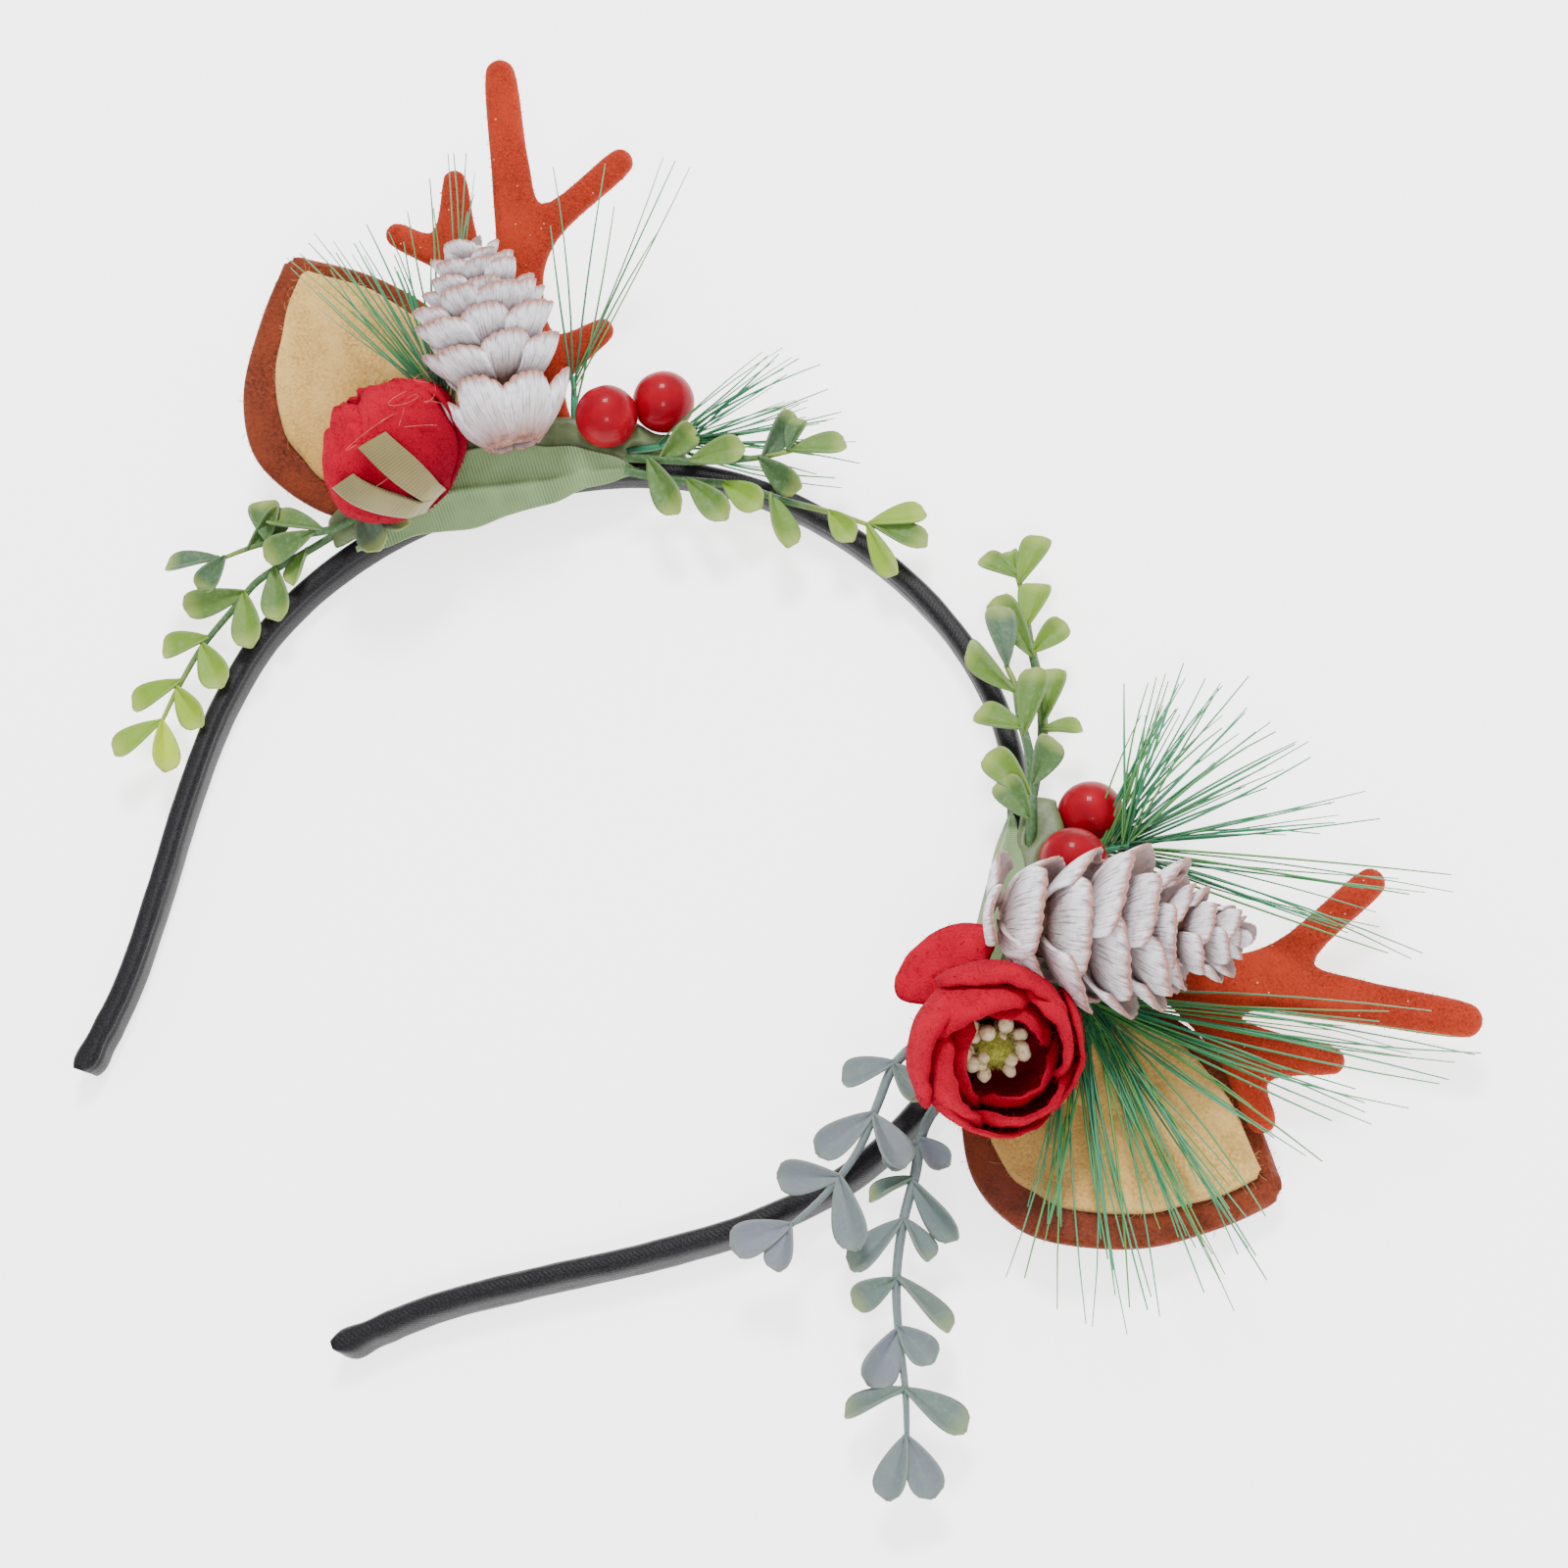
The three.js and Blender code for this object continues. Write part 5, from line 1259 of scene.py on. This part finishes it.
@dataclass
class PineCone:
    """A small cone: a bare core and rings of fan-shaped scales with scalloped rims."""

    place: Place
    length: float = 34
    radius: float = 10.8
    tiers: dict[Side, Sequence[tuple[float, float, int, float]]] = field(default_factory=lambda: {
        Side.LEFT: ((0.0, 0.82, 6, 10.4), (0.22, 0.98, 7, 7.6), (0.36, 1.02, 8, 7.4), (0.49, 0.94, 8, 6.6),
                    (0.6, 0.8, 8, 5.6), (0.69, 0.64, 7, 4.8), (0.76, 0.48, 6, 4.0), (0.82, 0.33, 5, 3.2)),
        Side.RIGHT: ((0.0, 0.86, 4, 8.8), (0.16, 1.0, 5, 8.8), (0.32, 1.02, 5, 8.8), (0.47, 0.92, 6, 8.4),
                     (0.61, 0.76, 6, 5.6), (0.72, 0.58, 6, 5.6), (0.81, 0.42, 5, 5.2), (0.88, 0.28, 5, 3.8))})
    knobs: dict[Side, Sequence[tuple[float, float, float, float]]] = field(default_factory=lambda: {
        Side.LEFT: ((-2.4, 29.6, 1.4, 1.9), (1.4, 29.2, 1.8, 1.6), (-0.6, 27.6, 2.6, 1.5)),
        Side.RIGHT: ((0, 33.6, 0, 1.5), (0.8, 31.6, 1.2, 1.2))})
    core_length: dict[Side, float] = field(default_factory=lambda: {Side.LEFT: 29.0, Side.RIGHT: 33.0})
    loose: Sequence[tuple[float, float]] = ((38, 74), (104, 66))

    @staticmethod
    def scale() -> Shape:
        """One scale, one unit long and wide: ribbed, bulging, and scalloped at its rim."""
        u, v = grid_uv(11, 37)
        lobes = np.abs(np.cos(u * np.pi * 3.5)) ** 0.6
        width = 0.5 * table_at((0, 0.3, 0.65, 0.88, 1), (0.4, 0.76, 0.98, 1.0, 0.95), v)
        rim = 0.96 - 0.3 * np.abs(u) ** 3 + 0.06 * lobes
        ribs = 0.012 * lobes * v
        bulge = 0.2 * np.sin(v * 2.35) - 0.2 * u**2 * (0.25 + 0.75 * v)
        points = np.stack([u * width, v * rim, bulge + ribs], 2)
        thickness = 0.07 * (1.3 - 0.6 * v)
        return thick_grid(points, thickness, {"along": v * np.ones_like(u)})

    def spots(self) -> list[tuple[Matrix, Vector, float]]:
        """Where each scale sits: rings from the base to the knobby tip, each a little out of step."""
        base, tip, roll = self.place.row.cone
        stand = stood((base[0], base[1], base[2] + BED_LOW), (tip[0], tip[1], tip[2] + BED_LOW), roll)
        rng = np.random.default_rng(21 if self.place.row.side is Side.LEFT else 22)
        found = []
        left = self.place.row.side is Side.LEFT
        fit = (0.9, 1.0) if left else (0.98, 1.12)
        for ring, (share, wide, count, reach) in enumerate(self.tiers[self.place.row.side]):
            outer = wide * self.radius
            inner = outer * (0.28 if ring else 0.42 if left else 0.1)
            uneven = 1.0 if share < 0.5 else 2.0
            for i in range(count):
                angle = (i + ring * 0.5 + rng.uniform(-0.09, 0.09)) * 2 * math.pi / count
                outward = Vector((math.cos(angle), 0, math.sin(angle)))
                step = 0.7 if i % 2 else -0.5
                step, stray = (step, rng.uniform(-0.5, 0.5) * uneven) if ring else (-2.0 if left else -0.9, 0)
                root = outward * inner + Vector((0, share * self.length + 0.6 + step + stray, 0))
                end = outward * (outer - 0.6 - step * 0.7 + rng.uniform(-0.5, 0.4)) + Vector((0, root.y + reach, 0))
                along = (end - root).normalized()
                normal = (outward - along * outward.dot(along)).normalized()
                turned = stand.to_3x3()
                spot = self.place.turned_spot(self.place.plane, stand @ root, turned @ along, turned @ normal)
                long = (end - root).length * rng.uniform(0.95, 1.06)
                across = 2 * outer * math.sin(math.pi / count) * rng.uniform(*fit)
                found.append((spot, Vector((across, long, min(long, 9))) * MM, rng.random()))
        for angle, lean in self.loose if self.place.row.side is Side.RIGHT else ():
            turn, tilt = math.radians(angle), math.radians(lean)
            outward = Vector((math.cos(turn), 0, math.sin(turn)))
            along = outward * math.sin(tilt) + Vector((0, math.cos(tilt), 0))
            normal = outward * -math.cos(tilt) + Vector((0, math.sin(tilt), 0))
            turned = stand.to_3x3()
            spot = self.place.turned_spot(
                self.place.plane, stand @ (outward * 2.0 - Vector((0, 1.6, 0))), turned @ along,
                turned @ (normal * -1))
            found.append((spot, Vector((8.4, 8.2, 8)) * MM, rng.random()))
        return found

    def build(self, finishes: Finishes) -> None:
        """Builds the scales and the core that shows between them."""
        side = self.place.row.side.value
        made = scattered(self.place.name("cone_scales"), self.scale(), self.spots(), finishes.wood)
        settle(made, [f"pine_cone_{side}"])
        base, tip, roll = self.place.row.cone
        stand = stood((base[0], base[1], base[2] + BED_LOW), (tip[0], tip[1], tip[2] + BED_LOW), roll)
        found = []
        for x, y, z, radius in self.knobs[self.place.row.side]:
            turn = np.linspace(0.15, np.pi - 0.15, 9)
            line = np.array([(x, y, z)]) + np.outer(-np.cos(turn) * radius, (0, 1, 0))
            knob = tube(line, radius * np.sin(turn) * 0.9, 12)
            knob.values = {"along": np.full(len(knob.points), 0.8), "under": np.zeros(len(knob.points))}
            found.append(knob.moved(stand))
        shape = Shape.joined(found)
        settle(self.place.plane_made("cone_knobs", shape, finishes.wood))
        line = np.array([(0, y, 0) for y in np.linspace(0.0, self.core_length[self.place.row.side], 14)])
        wide = self.radius * table_at((0, 0.1, 0.4, 0.85, 1), (0.1, 0.34, 0.42, 0.24, 0.08), np.linspace(0, 1, 14))
        core = tube(line, wide, 14).moved(stand)
        settle(self.place.plane_made("cone_core", core, finishes.core))


@dataclass
class ClothFlower:
    """A flower of brushed petal cloth: rings of cupped petals, closed as a bud or open as a cup."""

    place: Place
    petals: dict[FlowerKind, Sequence[tuple[str, int, float, float, float, float, float]]] = field(
        default_factory=lambda: {
            FlowerKind.CUP: (("outer", 4, 1, 0.86, 56, 0.9, 20), ("middle", 4, 0.88, 1.0, 54, 0.8, 62),
                             ("inner", 3, 0.68, 0.9, 64, 0.76, 15)),
            FlowerKind.BUD: (("outer", 5, 1.04, 0.9, 48, 0.66, 0), ("middle", 4, 0.88, 1.0, 58, 0.42, 40),
                             ("inner", 3, 0.62, 1.02, 66, 0.16, 10))})

    def petal(self, radius: float, height: float, half: float, close: float, angle: float, seed: int) -> Shape:
        """One petal of a ring.

        Args:
            radius: the ring's radius.
            height: the petal's height.
            half: half its spread in degrees.
            close: how far its rim leans in, as a share of the radius.
            angle: where it stands, in radians.
            seed: picks its ruffle.

        Returns:
            The petal, made along Y.
        """
        u, v = grid_uv(30, 31)
        spread = table_at((0, 0.35, 0.75, 1), (0.7, 1, 1, 0.8), v)
        turn = angle + u * math.radians(half) * spread
        out = radius * table_at((0, 0.12, 0.38, 0.75, 1), (0.25, 0.68, 0.98, 0.98, close), v)
        rough = 0.46 if self.place.row.kind is FlowerKind.BUD else 0.2
        crumple = rough * waves(u * 11, v * 14 + seed, seed, 6) * (0.3 + v)
        out = out * (1 + 0.07 * u) + crumple - 0.35
        rise = height * v * (1 - 0.2 * np.abs(u) ** 2.4 * v) + 0.7 * rough * waves(u * 10, v * 5, seed + 1, 6) * v**3
        points = np.stack([out * np.cos(turn), rise, out * np.sin(turn)], 2)
        edge = np.clip((np.maximum(np.abs(u), v) - 0.85) / 0.15, 0, 1)
        # painted shade value: strongest at the petal's base, gone two thirds of the way up
        return thick_grid(points, 0.8 - 0.45 * edge**2, {"depth": np.clip(0.8 - 1.1 * v, 0, 1), "edge": edge**2})

    def build(self, finishes: Finishes) -> None:
        """Builds each ring of petals as cut cloth, with its nap, and what shows at the flower's heart."""
        row = self.place.row
        bud = row.kind is FlowerKind.BUD
        radius, height = (10.0, 22.6) if bud else (11.8, 17.0)
        base, top, roll = row.flower
        stand = stood((base[0], base[1], base[2] + BED_LOW), (top[0], top[1], top[2] + BED_LOW), roll)
        if bud:
            plain = stood((base[0], base[1], base[2] + BED_LOW), (top[0], top[1], top[2] + BED_LOW), 0)
            egg = Matrix.Diagonal((1.13, 0.93, 1, 1)) @ Matrix.Rotation(math.radians(roll), 4, "Y")
            stand = plain @ Matrix.Translation((-0.2, -1.1, 0)) @ egg
        for ring, (name, count, wide, tall, half, close, turn) in enumerate(self.petals[row.kind]):
            shapes = [self.petal(radius * wide, height * tall, half, close,
                                 math.radians(turn) + i * 2 * math.pi / count, 31 + ring * 7 + i)
                      for i in range(count)]
            self.cloth(f"petals_{name}", Shape.joined(shapes).moved(stand), finishes, count)
        if bud:
            self.sepals(stand, finishes)
            self.threads(stand, finishes)
        else:
            self.loose_petal(finishes)
            self.heart(stand, finishes)

    def cloth(self, name: str, shape: Shape, finishes: Finishes, count: int) -> None:
        """Makes one ring of petals and grows its nap."""
        side = self.place.row.side.value
        made = self.place.plane_made(name, shape, finishes.petal)
        settle(made, [f"flower_{side}"])
        nap = Fibres(f"{name}_nap", 0.42, 0.8, 0.05, 1.1, seed=17).grown(made, finishes.petal)
        nap.name = self.place.name(f"{name}_nap")
        settle(nap)

    def loose_petal(self, finishes: Finishes) -> None:
        """Builds the odd petal that lies open beside the cup, toward the middle of the band."""
        u, v = grid_uv(18, 17)
        centre, across, along = Vector((-10.1, -4.8, 18.6)), Vector((0.86, 0.45, 0.1)), Vector((0.1, -0.8, -0.25))
        wide = 7.2 * np.sqrt(np.clip(1 - np.abs(2 * v - 1) ** 2.6, 0.02, 1))
        x, y = u * wide, (v - 0.4) * 12.5
        z = -0.035 * x**2 - 0.02 * (y - 2) ** 2 + 0.3 * waves(x, y, 71, 12)
        points = (np.array(centre) + x[..., None] * np.array(across.normalized())
                  + y[..., None] * np.array(along.normalized()) + z[..., None] * np.array([0, 0, 1.0]))
        self.cloth("petal_loose", thick_grid(points, 0.7, {"depth": 0 * v, "edge": np.abs(u) ** 12}), finishes, 1)

    def heart(self, stand: Matrix, finishes: Finishes) -> None:
        """Builds the cream stamens in the bottom of the cup."""
        shapes = []
        rng = np.random.default_rng(5)
        for i in range(15):
            angle, spread = i * 2.4 + rng.uniform(-0.35, 0.35), 1.8 + 0.85 * math.sqrt(i) + rng.uniform(-0.4, 0.4)
            foot = np.array([spread * 0.5 * math.cos(angle), 4.2, spread * 0.5 * math.sin(angle)])
            head = np.array([spread * math.cos(angle), 9.8 + rng.uniform(-2.0, 0.9), spread * math.sin(angle)])
            path = foot + (head - foot) * np.linspace(0, 1, 15)[:, None]
            path = path + rng.normal(0, 0.07, path.shape)
            radii = np.array([0.35, 0.35, 0.35, 0.4, 0.45, 0.7, 1.0, 1.05, 0.75, 0.9, 1.1, 1.0, 0.95, 0.75, 0.3])
            shapes.append(tube(path, radii * rng.uniform(0.85, 1.2), 11))
        made = self.place.plane_made("cream_stamens", Shape.joined(shapes).moved(stand), finishes.stamen)
        settle(made, ["stamens_right"])
        line = np.array([(0, y, 0) for y in np.linspace(4.0, 10.4, 9)])
        wide = 2.3 * table_at((0, 0.3, 0.75, 1), (0.5, 0.8, 1, 0.25), np.linspace(0, 1, 9))
        ball = self.place.plane_made("stamen_heart", tube(line, wide, 16).moved(stand), finishes.heart)
        settle(ball)
        fuzz = Fibres("heart_fuzz", 5, 0.9, 0.06, 0.8, seed=23).grown(ball, finishes.heart)
        fuzz.name = self.place.name("heart_fuzz")
        settle(fuzz)

    def threads(self, stand: Matrix, finishes: Finishes) -> None:
        """Lays a few pale loose threads over the bud."""
        rng = np.random.default_rng(12)
        matrix = np.array(self.place.plane @ stand)
        rows = []
        for _ in range(6):
            t = np.linspace(0, 1, 16)
            turn = rng.uniform(0.6, 2.9) + rng.normal(0, 0.35) * t + 0.25 * np.sin(t * rng.uniform(3, 7))
            up = rng.uniform(5, 15) + rng.normal(0, 4) * t + 0.8 * np.sin(t * rng.uniform(4, 8))
            out = 10.0 * table_at((0, 0.2, 0.45, 0.8, 1.1), (0.3, 0.88, 1.05, 1.02, 0.6), up / 22) + 0.55 + 0.3 * t
            path = np.stack([out * np.cos(turn), up, out * np.sin(turn)], 1)
            rows.append(Strand(path @ matrix[:3, :3].T + matrix[:3, 3], 0.045 * MM, 0.0))
        settle(strands(self.place.name("pale_threads"), rows, finishes.thread))

    def sepals(self, stand: Matrix, finishes: Finishes) -> None:
        """Builds the two khaki ribbon sepals that hug the bud."""
        shapes = []
        for turn, long in ((22, 12.6), (58, 12.0)):
            u, v = grid_uv(26, 13)
            up = v * (1 + 0.06 * u) * long / 22
            out = 9.6 * (0.42 + 0.72 * np.sin(np.minimum(1, up * 1.9) * np.pi / 2)) + 1.3
            out = np.where(v < 0.08, out * (0.55 + v * 5.6), out)
            wide = 2.15 * table_at((0, 0.3, 1), (0.75, 1, 1), v)
            angle = math.radians(90 + turn) + u * wide / np.maximum(out, 2.5)
            points = np.stack([out * np.cos(angle), up * 22 - 0.6, out * np.sin(angle)], 2)
            shapes.append(thick_grid(points, 0.6))
        made = self.place.plane_made("ribbon_sepals", Shape.joined(shapes).moved(stand), finishes.ribbon)
        settle(made, ["sepals_left"])
        self.place.name("petals_outer")


@dataclass
class BerryPair:
    """Two lacquered berries, each a slightly uneven ball with a dimple."""

    place: Place
    radius: float = 5.05

    def build(self, finishes: Finishes) -> None:
        """Builds both berries."""
        for i, centre in enumerate(self.place.row.berries):
            u, v = np.meshgrid(np.linspace(0, 2 * np.pi, 49)[:-1], np.linspace(0.03, np.pi - 0.03, 28))
            r = self.radius * (1 + 0.006 * waves(u, v * 2, 40 + i, 3)) - 0.35 * np.exp(-((v / 0.22) ** 2))
            ball = np.stack([np.sin(v) * np.cos(u), np.cos(v), np.sin(v) * np.sin(u)], 2) * r[..., None]
            shape = self.closed(ball)
            shape.points = shape.points + np.array([centre[0], centre[1], centre[2] + BED_LOW])
            made = self.place.plane_made(f"berry_ball_{i + 1}", shape, finishes.berry)
            WrappedBand.facing_out(made)
            settle(made, [f"berry_{i + 1}_{self.place.row.side.value}"])

    @staticmethod
    def closed(points: np.ndarray) -> Shape:
        """A closed ball from rings of points."""
        rings, sides = points.shape[:2]
        faces = [(i * sides + j, i * sides + (j + 1) % sides, (i + 1) * sides + (j + 1) % sides,
                  (i + 1) * sides + j) for i in range(rings - 1) for j in range(sides)]
        faces += [tuple(range(sides)), tuple(range((rings - 1) * sides, rings * sides))]
        flat = points.reshape(-1, 3)
        return Shape(flat, faces, flat[:, :2] / 10, {})


@dataclass
class ClothLeaf:
    """The stiff sage cloth leaf laid over the band, with a soft fold along it."""

    place: Place
    width: float = 7.8
    overhang: float = 5.5
    spare: float = 2.0
    slope: float = 0.57

    def build(self, finishes: Finishes) -> None:
        """Builds the leaf."""
        start, end, reach = self.place.row.pad
        wide = self.width - (1 - reach) * self.overhang + self.spare
        u, v = grid_uv(110, 41)
        along = start + (end - start) * v
        half = wide / 2 * np.maximum(0.06, np.sin(np.pi * v) ** 0.75)
        centre = self.place.band_out(along) - BAND_THICK / 2 - reach * self.overhang + wide / 2
        crease = -0.15 + 0.25 * np.sin(2.2 * np.pi * v)
        below = np.minimum(0, u - crease)
        fold = (0.8 * np.exp(-np.abs(u - crease) / 0.12) + 1.2 * below) * np.sin(np.pi * v)
        high = BAND_WIDTH + 2 * GAP + 1 + self.slope * (u + 1) * half + fold
        ripple = 0.6 * waves(along, u * half * 0.7, 61, 13) * np.abs(u) ** 1.5
        points = np.stack([along, centre + u * half + 0.6 * ripple, high + ripple], 2)
        shape = thick_grid(points, 0.55).moved(self.place.upright)
        made = shape.made(self.place.name("cloth_leaf"), finishes.cloth)
        side = self.place.row.side.value
        settle(made, [f"fabric_leaf_{side}"])


@dataclass
class NeedleSpray:
    """A spray of drawn plastic pine needles that fan out from a wound head."""

    place: Place
    row: SprayRow
    radius: float = 0.215

    def build(self, finishes: Finishes) -> None:
        """Builds the head and its strands with Geometry Nodes."""
        lift = Vector((0, 0, BED_LOW))
        head = catmull([tuple(Vector(p) + lift) for p in self.row.head], 6)
        rng = np.random.default_rng(sum(map(ord, self.row.name)) + (0 if self.place.row.side is Side.LEFT else 50))
        matrix = np.array(self.place.plane)
        to_row = lambda p: p @ matrix[:3, :3].T + matrix[:3, 3]
        rows = [Strand(to_row(head), 0.7 * MM, 0.0)]
        for tip in self.row.tips:
            for k in range(self.row.strands):
                end = np.array(tip) + np.array([0, 0, BED_LOW])
                back = head[int(rng.integers(len(head) // 2, len(head)))] + rng.normal(0, 0.25, 3)
                reach = 1.0 if k == 0 else rng.uniform(0.68, 1.0)
                if k:
                    end = end + rng.normal(0, 1, 3) * np.array([2.1, 2.1, 0.8])
                end = back + (end - back) * reach
                side = np.cross(end - back, [0, 0, 1.0])
                bow = side * rng.normal(0, 0.02) + np.array([0, 0, 1.0]) * abs(rng.normal(0, 0.9))
                t = np.linspace(0, 1, 7)[:, None]
                path = back + (end - back) * t + bow * (t * (1 - t) * 4)
                rows.append(Strand(to_row(path), self.radius * rng.uniform(0.7, 1.1) * MM, float(rng.random() ** 3)))
        made = strands(self.place.name(f"needles_{self.row.name}"), rows, finishes.needle)
        side = self.place.row.side.value
        settle(made, [f"pine_needles_{self.row.name}_{side}"])


@dataclass
class LeafySprig:
    """A soft plastic sprig: a tapering stem with paired leaves that are broad toward their ends."""

    place: Place
    row: SprigRow
    stem_radius: float = 0.85
    leaf_width: float = 4.6

    @staticmethod
    def leaf() -> Shape:
        """One leaf, one unit long and wide: round-ended, cupped, with a sunken midrib."""
        u, v = grid_uv(15, 11)
        wide = 0.5 * np.clip(v, 0.02, 1) ** 0.72 * np.sqrt(np.clip(1 - v**5, 0, 1)) / 0.66
        wide = np.maximum(wide, 0.06)
        midrib = -0.05 * np.exp(-((u / 0.14) ** 2)) * (1 - v)
        points = np.stack([u * wide, v * 1.03 - 0.03, 0.13 * u**2 * wide * 2 - 0.1 * v**2 + midrib + 0.05], 2)
        edge = np.maximum(np.abs(u), v)
        thickness = 0.07 * (1 - 0.5 * np.clip((edge - 0.8) / 0.2, 0, 1))
        return thick_grid(points, thickness, {"along": v * np.ones_like(u), "edge": edge})

    def build(self, finishes: Finishes) -> None:
        """Builds the leaves and the stem."""
        path = catmull([(x, y, z + BAND_WIDTH) for x, y, z in self.row.stem], 8)
        rng = np.random.default_rng(sum(map(ord, self.row.name)))
        spots = []
        for leaf in self.row.leaves:
            index = leaf.at * (len(path) - 1)
            low, high = int(index), min(int(index) + 1, len(path) - 1)
            root = Vector(path[low] + (path[high] - path[low]) * (index - low))
            before, after = path[max(low - 2, 0)], path[min(low + 3, len(path) - 1)]
            along = Vector(after - before)
            along.z = 0
            along.normalize()
            along.rotate(Quaternion((0, 0, 1), math.radians(leaf.turn)))
            pitch = rng.uniform(-0.03, 0.16)
            tip = (along + Vector((0, 0, pitch))).normalized()
            normal = Vector((0, 0, 1)) - tip * tip.z
            normal.rotate(Quaternion(tip, rng.choice((0.15, -0.3, 0.5, -0.75, 0.95), p=(0.3, 0.25, 0.2, 0.15, 0.1))))
            normal.normalize()
            spot = self.place.turned_spot(self.place.upright, root, tip, normal)
            wide = self.leaf_width * min(1, leaf.long / 8) * rng.uniform(0.95, 1.08)
            tint = self.row.tone.value + (self.row.end.value - self.row.tone.value) * leaf.at
            tint = float(np.clip(tint + rng.uniform(-0.13, 0.12), 0, 0.9))
            spots.append((spot, Vector((wide, leaf.long, 8)) * MM, tint))
        side = self.place.row.side.value
        leaves = scattered(self.place.name(f"leaves_{self.row.name}"), self.leaf(), spots, finishes.leaf)
        settle(leaves, [f"sprig_{self.row.name}_{side}"])
        matrix = np.array(self.place.upright)
        line = path @ matrix[:3, :3].T + matrix[:3, 3]
        stem = strands(self.place.name(f"stem_{self.row.name}"),
                       [Strand(line, self.stem_radius * MM, self.row.tone.value)],
                       finishes.leaf)
        settle(stem)


@dataclass
class GlueBed:
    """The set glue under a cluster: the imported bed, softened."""

    place: Place
    voxel: float = 0.45

    def build(self, finishes: Finishes) -> None:
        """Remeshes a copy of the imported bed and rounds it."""
        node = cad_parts[self.place.name("glue_bed")]
        made = bpy.data.objects.new(self.place.name("set_glue"), node.data.copy())
        bpy.context.scene.collection.objects.link(made)
        WrappedBand.facing_out(made)
        remesh = made.modifiers.new("remesh", "REMESH")
        remesh.mode, remesh.voxel_size = "VOXEL", self.voxel * MM
        smooth = made.modifiers.new("smooth", "SMOOTH")
        smooth.factor, smooth.iterations = 0.5, 40
        made = bake(made)
        made.data.materials.clear()
        made.data.materials.append(finishes.glue)
        made.data.shade_smooth()
        settle(made, [self.place.name("glue_bed")])


# Studio

def studio(band: WrappedBand) -> None:
    """Sets the floor, the lights and the camera at the photograph's angle.

    Args:
        band: the band, whose place fixes the camera's.
    """
    mesh = bpy.data.meshes.new("floor")
    mesh.from_pydata([(-3, -3, 0), (3, -3, 0), (3, 3, 0), (-3, 3, 0)], [], [(0, 1, 2, 3)])
    floor = bpy.data.objects.new("floor", mesh)
    bpy.context.scene.collection.objects.link(floor)
    paper = bpy.data.materials.new("white_paper_floor")
    paper.use_nodes = True
    shader = paper.node_tree.nodes["Principled BSDF"]
    for key, value in (("Base Color", colour("f6f6f6")), ("Roughness", 0.9), ("Emission Color", (1, 1, 1, 1)),
                       ("Emission Strength", 2.2)):
        shader.inputs[key].default_value = value
    mesh.materials.append(paper)
    world = bpy.context.scene.world or bpy.data.worlds.new("studio")
    bpy.context.scene.world = world
    world.use_nodes = True
    ground = next(n for n in world.node_tree.nodes if n.type == "BACKGROUND")
    ground.inputs[0].default_value, ground.inputs[1].default_value = (1, 1, 1, 1), 1.2
    for name, place, size, power in (("key", (-0.35, 0.5, 0.95), 0.28, 15), ("fill", (0.75, -0.4, 0.9), 0.3, 7)):
        data = bpy.data.lights.new(name, "AREA")
        data.size, data.energy = size, power
        lamp = bpy.data.objects.new(name, data)
        lamp.location = place
        lamp.rotation_mode = "QUATERNION"
        lamp.rotation_quaternion = Vector(place).to_track_quat("Z", "Y")
        bpy.context.scene.collection.objects.link(lamp)
    low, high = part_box("headband")
    apex = Vector(((low.x + high.x) / 2, high.y - (band.half_thick * MM), 0))
    data = bpy.data.cameras.new("camera")
    data.lens, data.sensor_width, data.clip_start = 67.5, 36, 0.01
    camera = bpy.data.objects.new("camera", data)
    bpy.context.scene.collection.objects.link(camera)
    right, up = Vector((0.683, 0.705, -0.1905)).normalized(), Vector((-0.583, 0.683, 0.4387))
    back = right.cross(up).normalized()
    turn = Matrix((right, back.cross(right), back)).transposed().to_4x4()
    camera.matrix_world = Matrix.Translation(apex + Vector((0.214, -0.1224, 0.398))) @ turn
    bpy.context.scene.camera = camera


def main() -> None:
    """Builds every piece in order, then the studio."""
    logging.basicConfig(level=logging.INFO, format="%(message)s")
    finishes = Finishes()
    band = WrappedBand()
    band.build(finishes)
    for row in (LEFT, RIGHT):
        place = Place(band, row)
        for piece in (GlueBed(place), FeltEar(place), FlockedAntler(place), PineCone(place), ClothFlower(place),
                      BerryPair(place), ClothLeaf(place)):
            piece.build(finishes)
        for spray in row.sprays:
            NeedleSpray(place, spray).build(finishes)
        for sprig in row.sprigs:
            LeafySprig(place, sprig).build(finishes)
    studio(band)


if __name__ == "__main__":
    main()
